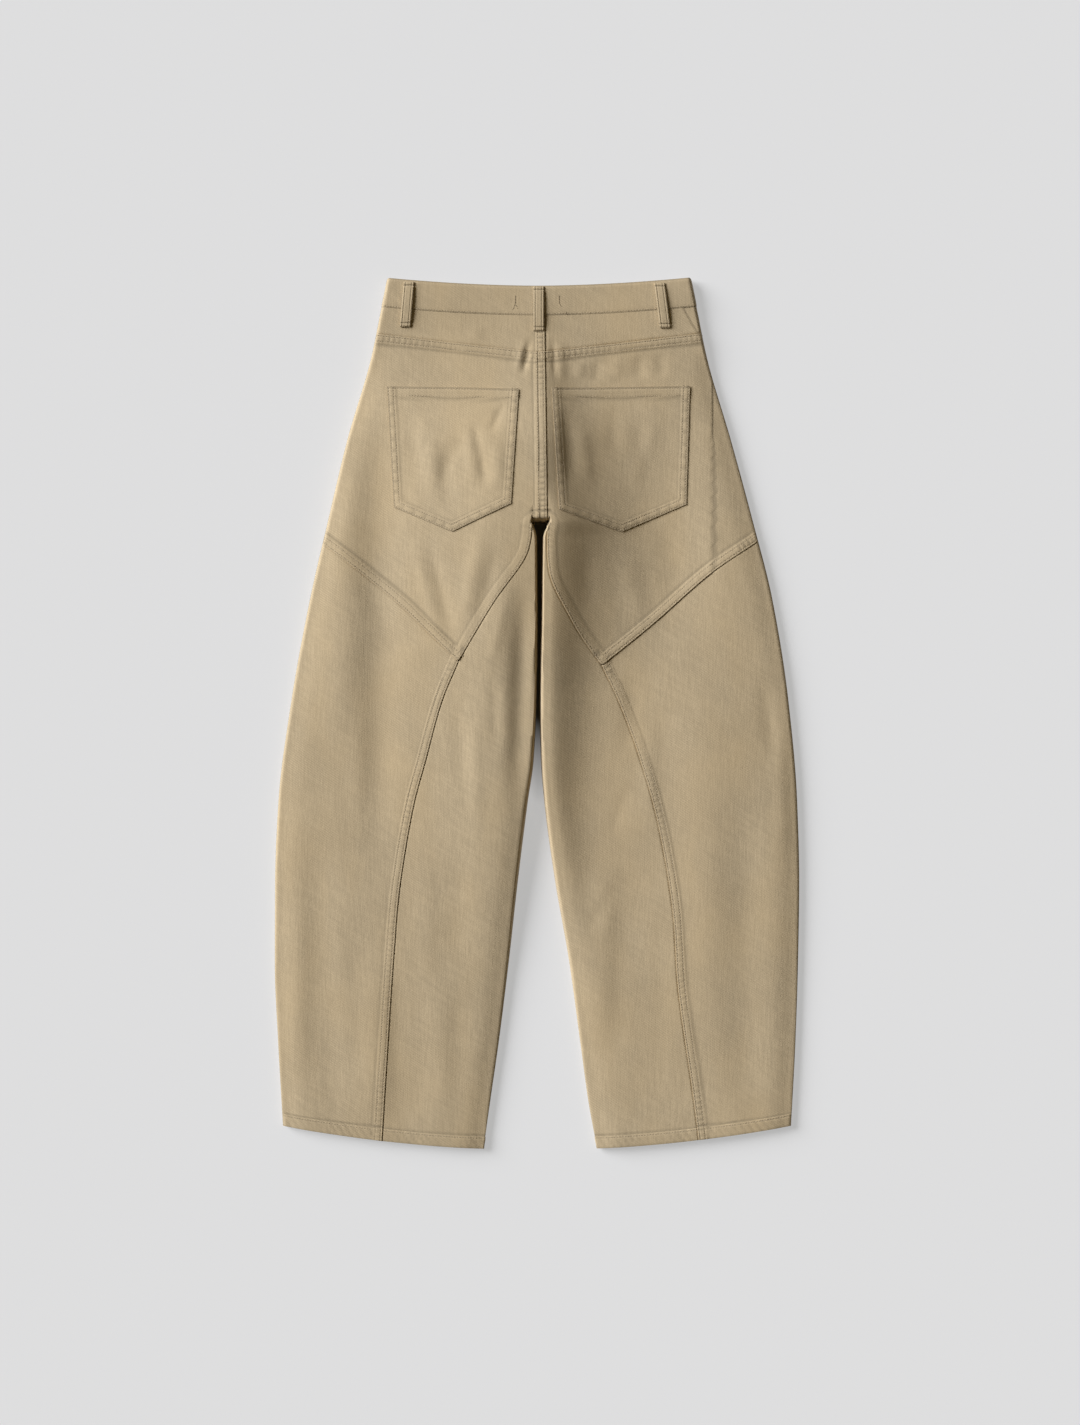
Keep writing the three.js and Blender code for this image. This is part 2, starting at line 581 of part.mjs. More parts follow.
// Button under the front band, near its lapping end
function button() {
  const disc = Manifold.cylinder(BUTTON_THICK, BUTTON_RADIUS - BUTTON_BEVEL, BUTTON_RADIUS, 32);
  const y = frontWaistY(0) - BAND_DEPTH / 2;
  return named('button', disc.translate([FRONT_SEAM_X, y, 0]), METAL);
}

const part = new THREE.Group();
part.name = 'barrel_leg_trousers';
part.add(...backPanels());
part.add(...frontPanels());
part.add(...waistband());
part.add(...pockets());
part.add(...LOOPS.map(beltLoop));
part.add(button());

export default part;
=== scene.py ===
"""Looks for barrel leg trousers, laid flat with the back up, seen from straight above."""

import math

import bpy
import numpy as np
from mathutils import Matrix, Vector


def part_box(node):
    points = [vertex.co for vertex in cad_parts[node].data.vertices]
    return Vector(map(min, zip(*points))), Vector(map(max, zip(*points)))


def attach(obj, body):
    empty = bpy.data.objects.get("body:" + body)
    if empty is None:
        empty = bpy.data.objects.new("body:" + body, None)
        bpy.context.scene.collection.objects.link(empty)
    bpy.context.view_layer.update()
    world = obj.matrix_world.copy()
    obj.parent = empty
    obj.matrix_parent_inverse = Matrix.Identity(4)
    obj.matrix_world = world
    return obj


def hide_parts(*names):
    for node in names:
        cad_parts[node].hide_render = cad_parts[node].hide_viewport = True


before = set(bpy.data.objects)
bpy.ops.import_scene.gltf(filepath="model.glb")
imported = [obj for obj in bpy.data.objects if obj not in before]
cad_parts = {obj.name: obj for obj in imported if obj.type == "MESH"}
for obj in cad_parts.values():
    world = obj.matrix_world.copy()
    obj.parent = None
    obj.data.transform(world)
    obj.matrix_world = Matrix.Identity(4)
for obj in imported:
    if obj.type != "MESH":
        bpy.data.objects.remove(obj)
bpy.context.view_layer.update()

# Sizes are in millimetres until a mesh is made
MM = 0.001

# Garment sizes: the solids' own, but for the rolls, the side seam's height, the gap and one fold
WAIST_Y, WAIST_RISE, WAIST_HALF = 511.3, 9.7, 182
FRONT_DIP = 9
HEM_Y, HEM_RISE, HEM_HALF = -522.6, 29, 304
CROTCH_Y = 229
BAND_DEPTH = 35.5
YOKE_Y, YOKE_SLOPE = 431, 0.118
SEAM = 0.3
LIFT, LIFT_FROM, LIFT_LENGTH = 2.4, 400, 50  # the front rises a little towards the waist
OUTER_ROLL, LEFT_ROLL, RIGHT_ROLL, CROTCH_ROLL = 4, 3, 3.2, 4  # width in which the cloth turns over
LEFT_TOP, RIGHT_TOP = 9, 12  # how far in from the gap the ridge starts to fall
OUTER_MID, INNER_MID = 7, 9  # height of the side seam and of the inseam
RIDGE_TOP = 29
SLOPE_FORM = 1.6
CREST_SPREAD, CREST_X = 180, 2
PARTING, PARTING_LENGTH = 55, 80
EDGE_DROP, EDGE_SPREAD = 3, 18
DROP_FROM, DROP_LENGTH = 450, 60
CENTRE_TOP_X, CENTRE_FOOT_X = 8.4, 12
FRONT_SEAM_X = 4.5
INNER_TOP = 226
LEG_FOOT_Y = -521  # height of the hem at the gap
CROTCH_LEFT_X, CROTCH_RIGHT_X = -5, 14.2
TIP_LEFT_X, TIP_RIGHT_X = -4.6, 13.4  # where the inner panels end under the crotch
UNDERLAP = 34

# Cloth and sewing
CLOTH, BAND_CLOTH = 0.9, 2.2  # thickness of the twill and of the waistband, as they show
FELL_WIDTH = 10
LEG_FELL, CURVED_FELL, CENTRE_FELL, SEAT_FELL = 0.85, 1.0, 1.2, 1.3  # how far a lapped edge stands up
ROW_NEAR, ROW_FAR = 1.9, 8.3  # the two rows of topstitching, from the edge
GROOVE, GROOVE_WIDTH = 0.4, 0.6  # dent that a row of stitches pulls in
POCKET_RISE = 1.0
EDGE_SLACK = 0.2  # a point this near an edge counts as on it, so that panels meet
SEAM_FADE = 3.5  # the sewn relief ends this far from the side seam
ABOVE = 20  # base level of cloth that lies on other cloth, past any relief
HEM_DEPTH, HEM_ROW = 14, 12.5  # depth of the turned hem, and its row of stitches above the edge
POCKET_NEAR, POCKET_FAR = 1.6, 7.4  # the two rows round a pocket
MOUTH_NEAR, MOUTH_FAR = 2, 11  # the two rows along its mouth
BAND_ROW, BAND_ROW_ENDS = 1.8, (-184, 189)  # the waistband's row above its lower edge, and its ends
STITCH, STITCH_GAP = 2.5, 0.75
THREAD = 0.30  # radius of the topstitching thread
HOLE, HOLE_RISE, HOLE_DEPTH = 0.42, 0.06, 0.2  # half width, top and foot of the dark box that paints the shade in a stitch hole
CELL, FINE_CELL, YOKE_CELL = 2.5, 2.6, 1.8  # grid sizes on the panels that show
HIDDEN_CELL = 9.0
FOLD_FADE, CREASE_FADE = 0.35, 0.4  # share of its length in which a fold dies away
FINE_TOP, FINE_LENGTH = 480, 30  # creases end below the waistband's top

# Outer edges at heights up the garment
OUTLINE = {
    "y": [521, 482, 424, 328, 232, 136, 16, -104, -200, -300, -392, -496],
    "left": [-179, -187, -199, -227, -250, -272, -294, -309.5, -313.6, -314, -310, -304],
    "right": [184, 192, 204, 232, 258, 282, 301, 311.5, 314, 312.5, 309.5, 304],
}
# Inner edges of the legs
GAP = {
    "y": [229, 208, 112, 16, -56, -104, -200, -296, -392, -464, -521],
    "left": [-5, 0.4, 1.2, -0.4, -4, -10.8, -22.8, -33.6, -45.6, -56, -64],
    "right": [14, 6, 4.6, 3, 4.8, 8.6, 21.6, 38.4, 51.6, 61.5, 72],
}
# Height of the cloth pile, of the ridge above it, and the width of the ridge's right slope
HEIGHTS = {
    "y": [521, 461, 400, 320, 230, 120, 20, -90, -200, -330, -521],
    "pile": [14.2, 13.6, 12.5, 13, 13, 13, 13, 13, 12.5, 11.5, 10.5],
    "ridge": [0, 1.5, 11, 26, 29, 23, 16, 11, 6, 2, 0],
    "slope": [24, 24, 32, 48, 54, 50, 36, 27, 24, 24, 24],
}
# Main folds: ends, half width and height
FOLDS = [
    (-230, 400, -232, -90, 27, 3.2),
    (-190, 420, -186, -240, 25, -3),
    (-60, 270, -46, -340, 50, 4.5),
    (-15, 170, -26, -130, 12, -3.5),
    (-264, -120, -262, -470, 18, -1.2),
    (-192, -260, -190, -515, 24, 2),
    (-116, -280, -110, -515, 21, 1.6),
    (84, -150, 74, -430, 17, 2.2),
    (205, 150, 212, -500, 48, 3.2),
    (246, -90, 248, -500, 22, -1.4),
    (146, 390, 160, 60, 42, -3.5),
]
# Lesser creases, in the same columns
CREASES = [
    (-127, 345, -118, 235, 10, 1.2),
    (-113, 325, -103, 245, 9, -1.0),
    (-76, 350, -66, 300, 6, -1.2),
    (-68, 318, -60, 262, 6, -1.2),
    (-82, 345, -74, 265, 8, 0.9),
    (-56, 330, -38, 372, 5, -1.0),
    (-50, 330, -44, 262, 8, 1.0),
    (-86, 338, -128, 250, 8, -0.7),
    (-150, 372, -146, 262, 9, -0.7),
    (-150, 215, -110, 70, 8, 1.1),
    (-132, 215, -96, 80, 7, -1.1),
    (-62, 232, -92, 90, 10, 1.2),
    (-44, 210, -78, 70, 9, -1.1),
    (-30, 165, -60, 40, 8, 0.8),
    (-220, 175, -150, 60, 12, -0.9),
    (-98, 40, -84, -120, 10, -0.9),
    (-76, 20, -70, -160, 9, 0.8),
    (-52, 60, -48, -60, 8, -1.0),
    (-210, 30, -214, -160, 14, 0.9),
    (-150, -60, -160, -300, 13, -0.5),
    (-128, -140, -132, -380, 12, 0.5),
    (-90, -120, -94, -330, 13, -0.5),
    (-236, -220, -226, -450, 13, 0.6),
    (-284, -160, -286, -460, 12, 0.4),
    (-168, -280, -170, -510, 12, -0.6),
    (-96, -310, -98, -515, 13, -0.5),
    (-240, -320, -246, -510, 12, -0.4),
    (92, 372, 92, 300, 8, -0.6),
    (34, 372, 42, 262, 9, -2.0),
    (52, 350, 64, 262, 8, 0.9),
    (120, 360, 132, 262, 11, -0.9),
    (146, 372, 112, 250, 12, 0.9),
    (60, 210, 62, 110, 12, -0.8),
    (104, 200, 128, 90, 13, 1.0),
    (150, 235, 176, 120, 14, -0.8),
    (196, 250, 230, 120, 14, 0.7),
    (116, 60, 108, -60, 12, -0.9),
    (136, 20, 134, -160, 11, 0.8),
    (268, 60, 286, -70, 11, -1.3),
    (290, 40, 296, -200, 9, 0.7),
    (78, -200, 70, -480, 15, -0.9),
    (112, -80, 88, -150, 8, -0.5),
    (98, -195, 60, -268, 9, -0.5),
    (112, -220, 108, -500, 16, 0.6),
    (150, -230, 146, -500, 12, -0.4),
    (222, -100, 222, -440, 16, -0.4),
    (-70, 470, -74, 440, 9, 0.5),
    (52, 424, 50, 396, 7, 0.7),
    (72, 426, 72, 392, 7, -0.8),
    (94, 428, 96, 396, 8, 0.7),
    (122, 432, 124, 396, 8, -0.9),
    (146, 434, 150, 398, 7, -0.7),
    (-8, 452, -17, 400, 3.4, -1.7),
    (-15, 448, -26, 402, 4.5, 0.9),
    (18, 455, 22, 392, 3.5, -1.0),
    (26, 448, 32, 392, 5, 0.7),
]

# Seams across the back, from point to point
DIAGONAL_LEFT = [(-256.5, 203.5), (-201.6, 161), (-163, 129), (-126, 93), (-93.6, 62.4)]
DIAGONAL_RIGHT = [(265.8, 207), (206, 166), (138.6, 107), (77.5, 57.6)]
CURVED_LEFT_UP = [(-93.6, 62.4), (-52.3, 131), (-17, 180), (-8, 205), (-6, 226)]
CURVED_RIGHT_UP = [(77.5, 57.6), (55, 88.7), (36, 121), (16, 162), (12, 205), (14.2, 226)]
CURVED_LEFT_DOWN = [
    (-185.6, -511.4), (-178, -389), (-171, -285), (-164, -207), (-148.8, -116), (-132.7, -54.6),
    (-114.4, 12), (-93.6, 62.4),
]
CURVED_RIGHT_DOWN = [
    (193.6, -510.2), (185.4, -446), (169, -331), (162, -233), (145, -133), (123.6, -56),
    (100, 9.4), (77.5, 57.6),
]

# Back pockets: top left, top right, foot right, point, foot left
POCKETS = {
    "left": [(-178.8, 390.4), (-21.6, 386.3), (-30.6, 249), (-100.8, 216), (-170.4, 245.6)],
    "right": [(17.5, 388.2), (182.9, 391.4), (178.8, 250.2), (101.3, 217), (26.4, 242.2)],
}
LOOP_WIDTH, LOOP_CLOTH, LOOP_BASE, LOOP_BOW = 12.6, 1.6, 0.9, 1.5
FRONT_LOOP_CLOTH, FRONT_LOOP_RISE = 1.3, 2.2
# Belt loops: middle of the top and of the foot
LOOPS = {
    "left": (-153, 515.5, -157.5, 462),
    "centre": (2, 510.2, 2, 457),
    "right": (146, 514.5, 153, 461),
}
# Loose tacking stitches left on the waistband
TACKS = [
    [(-25.8, 500), (-25.8, 489.5)],
    [(-25.8, 489.5), (-28.8, 482.5)],
    [(-25.8, 489.5), (-23.2, 484)],
    [(26.4, 500), (26.4, 490)],
    [(26.4, 490), (29, 486.5)],
    [(34, 480.5), (36.2, 477)],
]
FRONT_LOOPS = {"front_left": (-90, 504.5, -93, 459), "front_right": (96, 505, 99, 459)}


def column(table, name):
    """Smooth monotone curve through a column of a table, by its y column."""
    at = -np.array(table["y"], float)
    value = np.array(table[name], float)
    steps = np.diff(value) / np.diff(at)
    slopes = np.empty_like(value)
    slopes[0], slopes[-1] = steps[0], steps[-1]
    product = steps[:-1] * steps[1:]
    total = np.where(product > 0, steps[:-1] + steps[1:], 1)
    slopes[1:-1] = np.where(product > 0, 2 * product / total, 0)

    def curve(y):
        t = np.clip(-np.asarray(y, float), at[0], at[-1])
        i = np.clip(np.searchsorted(at, t, side="right") - 1, 0, len(at) - 2)
        span = at[i + 1] - at[i]
        s = (t - at[i]) / span
        keep = (1 + 2 * s) * (1 - s) ** 2 * value[i] + s * s * (3 - 2 * s) * value[i + 1]
        return keep + span * s * (1 - s) * ((1 - s) * slopes[i] - s * slopes[i + 1])

    return curve


left_edge, right_edge = column(OUTLINE, "left"), column(OUTLINE, "right")
gap_left, gap_right = column(GAP, "left"), column(GAP, "right")
pile_height, ridge_height = column(HEIGHTS, "pile"), column(HEIGHTS, "ridge")
ridge_slope = column(HEIGHTS, "slope")


def smooth(t):
    s = np.clip(t, 0, 1)
    return s * s * (3 - 2 * s)


def lerp(a, b, t):
    return a + (b - a) * t


def bell(t, width):
    return np.exp(-((t / width) ** 2))


def waist_y(x):
    return WAIST_Y + WAIST_RISE * (np.abs(x) / WAIST_HALF) ** 1.8


def front_waist_y(x):
    return waist_y(x) - FRONT_DIP * np.maximum(0, 1 - (x / WAIST_HALF) ** 2)


def hem_y(x):
    return HEM_Y + HEM_RISE * np.minimum(np.abs(x) / HEM_HALF, 1) ** 1.9


def yoke_y(x):
    return YOKE_Y + YOKE_SLOPE * np.abs(x)


def centre_x(y):
    return lerp(CENTRE_FOOT_X, CENTRE_TOP_X, (y - CROTCH_Y) / (WAIST_Y - CROTCH_Y))


def folds_height(x, y, rows, fade):
    """Sum of folds, each a soft trough or ridge between its two ends."""
    total = np.zeros_like(x)
    for x0, y0, x1, y1, width, height in rows:
        ax, ay = x1 - x0, y1 - y0
        length = math.hypot(ax, ay)
        along = ((x - x0) * ax + (y - y0) * ay) / length**2
        off = ((x - x0) * ay - (y - y0) * ax) / length
        ends = smooth(np.minimum(along, 1 - along) / fade)
        total += height * ends * bell(off, width)
    return total


def ripple(x, y):
    """Faint unevenness of cloth that has been worn and pressed, mostly up and down the leg."""
    wander = 9 * np.sin(y / 83 + 0.7) + 5 * np.sin(y / 47 + x / 160)
    wave = np.sin((x + wander) / 13.5) * np.sin(y / 96 + x / 70)
    cross = np.sin((x * 0.6 + y) / 29 + 1.1 * np.sin(x / 41)) * np.sin(x / 37 - y / 150)
    return 0.26 * wave + 0.16 * cross


def back_height(x, y):
    """Height of the back's outer face, away from its rolled edges."""
    legs = smooth((CROTCH_Y + PARTING - y) / PARTING_LENGTH)
    left = lerp(CREST_X, gap_left(y) - LEFT_TOP, legs)
    right = lerp(CENTRE_TOP_X, gap_right(y) + RIGHT_TOP, legs)
    left_share = np.maximum(left - x, 0) / CREST_SPREAD
    right_share = np.maximum(x - right, 0) / ridge_slope(y)
    ridge = ridge_height(y) * np.exp(-(left_share**2) - right_share**SLOPE_FORM)
    outer = np.minimum(x - left_edge(y), right_edge(y) - x)
    inner = np.maximum(np.maximum(gap_left(y) - x, x - gap_right(y)), 0)
    falls = bell(outer, EDGE_SPREAD)
    falls = falls + (1 - ridge_height(y) / RIDGE_TOP) * legs * bell(inner, EDGE_SPREAD)
    drop = EDGE_DROP * smooth((DROP_FROM - y) / DROP_LENGTH) * falls
    main = folds_height(x, y, FOLDS, FOLD_FADE)
    fine = folds_height(x, y, CREASES, CREASE_FADE) + ripple(x, y)
    return pile_height(y) + ridge - drop + main + fine * smooth((FINE_TOP - y) / FINE_LENGTH)


def nearest_edge(x, y):
    """Share of the roll gone through, way out (2 arrays), seam height and roll at the nearest edge."""
    fade = ridge_height(y) / RIDGE_TOP
    above = np.maximum(y - CROTCH_Y, 0)
    left_side, right_side = gap_left(y) - x, x - gap_right(y)
    aside = np.maximum(np.maximum(left_side, right_side), 0)
    inner = np.hypot(aside, above)
    way = np.where(left_side > 0, 1.0, np.where(right_side > 0, -1.0, 0.0))
    safe = np.maximum(inner, 0.01)
    flat_x = np.where(inner > 0.01, way * aside / safe, way)
    flat_y = np.where(inner > 0.01, -above / safe, np.where(way == 0, -1.0, 0.0))
    side_roll = np.where(left_side > right_side, LEFT_ROLL, RIGHT_ROLL)
    full_roll = side_roll * flat_x**2 + CROTCH_ROLL * flat_y**2
    inner_roll = lerp(OUTER_ROLL, full_roll, fade)
    inner_mid = lerp(OUTER_MID, INNER_MID, fade)
    inside = np.stack([x - left_edge(y), right_edge(y) - x, inner]) - EDGE_SLACK
    ones = np.ones_like(x)
    rolls = [OUTER_ROLL * ones, OUTER_ROLL * ones, inner_roll]
    t = inside / np.stack(rolls)
    pick = t.argmin(0)
    out_x = np.choose(pick, [-ones, ones, flat_x])
    out_y = np.choose(pick, [0 * ones, 0 * ones, flat_y])
    mid = np.choose(pick, [OUTER_MID * ones, OUTER_MID * ones, inner_mid])
    return np.clip(t.min(0), 0, 1), out_x, out_y, mid, np.choose(pick, rolls)


def unit(vectors):
    return vectors / np.linalg.norm(vectors, axis=-1, keepdims=True)


def back_face(x, y):
    """Points of the back's outer face and the ways out of it."""
    t, out_x, out_y, mid, roll = nearest_edge(x, y)
    rise = np.sqrt(1 - (1 - t) ** 2)
    height = back_height(x, y)
    step = 0.5
    slope_x = (back_height(x + step, y) - height) / step
    slope_y = (back_height(x, y + step) - height) / step
    turn = (height - mid) * (1 - t) / roll
    normal = np.stack([
        -slope_x * rise**2 + out_x * turn,
        -slope_y * rise**2 + out_y * turn,
        rise,
    ], -1)
    z = mid + SEAM / 2 + (height - mid - SEAM / 2) * rise
    return np.stack([x, y, z], -1), unit(normal)


def front_face(x, y):
    """Points of the front's outer face, which lies on the surface, and the ways out of it."""
    t, out_x, out_y, mid, roll = nearest_edge(x, y)
    rise = np.sqrt(1 - (1 - t) ** 2)
    lift = LIFT * smooth((y - LIFT_FROM) / LIFT_LENGTH)
    drop = mid - SEAM / 2 - lift
    turn = drop * (1 - t) / roll
    normal = np.stack([out_x * turn, out_y * turn, -rise], -1)
    return np.stack([x, y, lift + drop * (1 - rise)], -1), unit(normal)


# Lines in the plan
LINE_STEP = 4.0


def spline(points):
    """Smooth line through the points, evenly spaced."""
    p = np.array(points, float)
    padded = np.vstack([2 * p[0] - p[1], p, 2 * p[-1] - p[-2]])
    t = np.linspace(0, 1, 24, endpoint=False)[:, None]
    parts = []
    for a, b, c, d in zip(padded, padded[1:], padded[2:], padded[3:]):
        parts.append(0.5 * (2 * b + (c - a) * t + (2 * a - 5 * b + 4 * c - d) * t**2
                            + (3 * b - a - 3 * c + d) * t**3))
    return even(np.vstack(parts + [p[-1:]]))


def even(line, step=LINE_STEP):
    line = np.asarray(line, float)
    lengths = arc(line)
    count = max(2, int(round(lengths[-1] / step)))
    return at_shares(line, np.linspace(0, 1, count + 1))


def arc(line):
    return np.concatenate([[0], np.cumsum(np.linalg.norm(np.diff(line, axis=0), axis=1))])


def at_shares(line, shares):
    lengths = arc(line)
    at = np.asarray(shares) * lengths[-1]
    return np.stack([np.interp(at, lengths, line[:, k]) for k in range(2)], -1)


def joined(*lines):
    """Lines end to end, without the points that repeat."""
    out = [np.asarray(lines[0], float)]
    for line in lines[1:]:
        line = np.asarray(line, float)
        gap = np.linalg.norm(out[-1][-1] - line[0])
        out.append(line[1:] if gap < 0.01 else line)
    return np.vstack(out)


def along_y(x_at, y0, y1):
    y = np.linspace(y0, y1, max(2, int(abs(y1 - y0) / LINE_STEP)) + 1)
    return np.stack([x_at(y), y], -1)


def along_x(y_at, x0, x1):
    x = np.linspace(x0, x1, max(2, int(abs(x1 - x0) / LINE_STEP)) + 1)
    return np.stack([x, y_at(x)], -1)


def beside(line, off):
    """The line moved to its left by off, or to its right where off is below 0."""
    way = np.gradient(line, axis=0)
    way /= np.linalg.norm(way, axis=1, keepdims=True)
    return line + off * np.stack([-way[:, 1], way[:, 0]], -1)


def nearness(x, y, line):
    """Distance of points from a line, and how far along it they are nearest."""
    a, b = line[:-1], line[1:]
    ab = b - a
    length2 = np.maximum((ab**2).sum(1), 1e-9)
    starts = arc(line)[:-1]
    flat = np.stack([x.ravel(), y.ravel()], -1)
    best = np.full(len(flat), 1e9)
    where = np.zeros(len(flat))
    for i in range(len(a)):
        rel = flat - a[i]
        t = np.clip(rel @ ab[i] / length2[i], 0, 1)
        d = np.hypot(rel[:, 0] - t * ab[i, 0], rel[:, 1] - t * ab[i, 1])
        closer = d < best
        best[closer] = d[closer]
        where[closer] = starts[i] + t[closer] * math.sqrt(length2[i])
    return best.reshape(x.shape), where.reshape(x.shape)


# Relief of the sewing on a panel

def groove(distance, row):
    return GROOVE * bell(distance - row, GROOVE_WIDTH)


def felled(x, y, line, fell, rows=(ROW_NEAR, ROW_FAR), width=FELL_WIDTH, pucker=0.2):
    """A lapped edge: a raised band with grooves at its stitches and small puckers across it."""
    distance, along = nearness(x, y, line)
    band = (1 - 0.5 * np.clip(distance / width, 0, 1)) * (1 - smooth((distance - width + 1) / 3))
    phase = along / 1.05 + 1.2 * np.sin(along / 17)
    uneven = 0.6 + 0.4 * np.sin(along / 31 + 1)
    waves = pucker * np.sin(phase) * uneven * bell(distance - 5, 5)
    round_off = 0.3 * bell(distance, 0.5)
    return fell * band + waves - round_off - sum(groove(distance, row) for row in rows)


def under_lap(x, y, line):
    """The panel beside a lapped edge dips a little towards it."""
    distance, along = nearness(x, y, line)
    return -0.7 * bell(distance, 1.2) * (1 + 0.2 * np.sin(along / 9))


def hem_relief(x, y):
    """Turned hem: thicker, roped slantwise by its one row of stitches."""
    up = y - hem_y(x)
    band = 1 - smooth((up - HEM_DEPTH + 0.5) / 1.2)
    roping = 0.12 * np.sin((x + 0.7 * up) / 1.5 + np.sin(x / 19)) * band * (0.7 + 0.3 * np.sin(x / 13))
    bottom = 0.35 * bell(up, 0.8)
    return 0.7 * band + roping - bottom - groove(up, HEM_ROW)


# Meshes

def patch(bottom, top, left, right, across, up):
    """Plan points of a grid between four lines, which run left to right and bottom to top."""
    b, t = at_shares(bottom, across), at_shares(top, across)
    l, r = at_shares(left, up), at_shares(right, up)
    u, v = np.asarray(across)[None, :, None], np.asarray(up)[:, None, None]
    ruled = (1 - v) * b[None] + v * t[None] + (1 - u) * l[:, None] + u * r[:, None]
    corners = ((1 - u) * (1 - v) * b[0] + u * (1 - v) * b[-1] + (1 - u) * v * t[0] + u * v * t[-1])
    grid = ruled - corners
    return grid[..., 0], grid[..., 1]


ROLL_SHARES = [1 - math.cos(math.radians(a)) for a in (0, 12, 26, 42, 58, 74, 90)]
SEAM_STEPS = (0, 0.4, 0.9, 1.4, 1.9, 2.4, 3.0, 4.2, 5.6, 7.0, 7.8, 8.3, 8.8, 9.6, 10.6, 11.6, 13)
HEM_STEPS = (0, 1, 3, 5, 7, 9, 10.8, 11.8, 12.5, 13.2, 14, 15, 16.5)
POCKET_STEPS = (0, 0.4, 0.9, 1.6, 2.3, 3.2, 4.6, 6.0, 6.8, 7.4, 8.0, 9.0, 10.4, 11.6, 13)
OUTER_STEPS = [OUTER_ROLL * s for s in ROLL_SHARES]
# Distances from an edge at which a grid has lines, in millimetres
STEPS = {
    None: [0],
    "roll": OUTER_STEPS,
    "left": [LEFT_ROLL * s for s in ROLL_SHARES],
    "right": [RIGHT_ROLL * s for s in ROLL_SHARES],
    "side": OUTER_STEPS + list(range(5, 21)),
    "seam": SEAM_STEPS,
    "hem": HEM_STEPS,
    "pocket": POCKET_STEPS,
}


def shares(length, cell, start=None, end=None):
    """Shares of a length, in about millimetres, for a grid's lines, closer at a rolled edge or a seam."""
    first = np.array(STEPS[start], float)
    last = length - np.array(STEPS[end], float)[::-1]
    count = max(1, int(round((last[0] - first[-1]) / cell)))
    middle = np.linspace(first[-1], last[0], count + 1)[1:-1]
    return np.concatenate([first, middle, last]) / length


def shell_mesh(name, outer, inner):
    """Closed thin shell between two grids of points, in millimetres."""
    up, across = outer.shape[:2]
    count = up * across
    index = np.arange(count).reshape(up, across)
    a, b = index[:-1, :-1], index[:-1, 1:]
    c, d = index[1:, 1:], index[1:, :-1]
    top = np.stack([a, b, c, d], -1).reshape(-1, 4)
    under = np.stack([d, c, b, a], -1).reshape(-1, 4) + count
    ring = np.concatenate([index[0, :-1], index[:-1, -1], index[-1, :0:-1], index[:0:-1, 0]])
    after = np.roll(ring, -1)
    rim = np.stack([ring + count, after + count, after, ring], -1)
    points = np.vstack([outer.reshape(-1, 3), inner.reshape(-1, 3)]) * MM
    return raw_mesh(name, points, np.vstack([top, under, rim]))


def raw_mesh(name, points, quads):
    mesh = bpy.data.meshes.new(name)
    mesh.vertices.add(len(points))
    mesh.vertices.foreach_set("co", points.astype(np.float32).ravel())
    mesh.loops.add(quads.size)
    mesh.loops.foreach_set("vertex_index", quads.astype(np.int32).ravel())
    mesh.polygons.add(len(quads))
    mesh.polygons.foreach_set("loop_start", np.arange(0, quads.size, 4, dtype=np.int32))
    mesh.update(calc_edges=True)
    mesh.validate()
    mesh.shade_smooth()
    mesh.set_sharp_from_angle(angle=math.radians(50))
    piece = bpy.data.objects.new(name, mesh)
    bpy.context.scene.collection.objects.link(piece)
    return piece


def dressed(piece, material, nodes=()):
    piece.data.materials.append(material)
    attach(piece, "root")
    if nodes:
        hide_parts(*nodes)
    return piece


def dents(height):
    """How deep each point of a grid lies below its neighbours, from 0 to 1; the cloth's colour is darkened
    by it as painted shade.
    """
    wide = np.pad(height, 2, mode="edge")
    beside_it = (wide[2:-2, :-4] + wide[2:-2, 4:]) / 2
    along_it = (wide[:-4, 2:-2] + wide[4:, 2:-2]) / 2
    return np.clip((np.maximum(beside_it, along_it) - height) / GROOVE, 0, 1)


def cloth(node, grid, face, relief, thick, shade=None, base=0.0):
    """A piece of cloth on a face, with its sewn relief.

    Its inner side stays under the base level, so a raised edge is thicker and closes its seam.
    """
    x, y = grid
    points, ways = face(x, y)
    height = relief(x, y)
    if face is back_face and base == 0:
        height = height * smooth(np.minimum(x - left_edge(y), right_edge(y) - x) / SEAM_FADE)
    outer = points + ways * height[..., None]
    inner = points + ways * (np.minimum(height, base) - thick)[..., None]
    # Painted shade, carried to the material: darker in the relief's dents, and along a given line such as a
    # pocket's edge
    painted_shade = dents(height)
    if shade is not None:
        painted_shade = np.maximum(painted_shade, shade(x, y))
    if face is front_face:
        outer, inner, painted_shade = outer[:, ::-1], inner[:, ::-1], painted_shade[:, ::-1]
    piece = dressed(shell_mesh(f"cloth_{node}", outer, inner), TWILL, nodes=[node])
    painted_shade_attribute = piece.data.attributes.new("painted_dent_shade", "FLOAT", "POINT")
    painted_shade_attribute.data.foreach_set("value", np.concatenate([painted_shade.ravel(), 0 * painted_shade.ravel()]).astype(np.float32))


# Materials

def blank(name):
    """A new material and its shader."""
    material = bpy.data.materials.new(name)
    material.use_nodes = True
    return material, material.node_tree.nodes["Principled BSDF"]


def add(material, kind, inputs):
    """A new node in the material, with its inputs set to numbers or linked."""
    tree = material.node_tree
    node = tree.nodes.new("ShaderNode" + kind)
    if kind == "Mix":
        node.data_type = "RGBA"
    for key, value in inputs.items():
        if hasattr(value, "links"):
            tree.links.new(value, node.inputs[key])
        else:
            node.inputs[key].default_value = value
    return node


def blended(material, low, high, share):
    return add(material, "Mix", {0: share, 6: low, 7: high}).outputs[2]


def shade(colour, factor):
    return (*[c * factor for c in colour], 1)


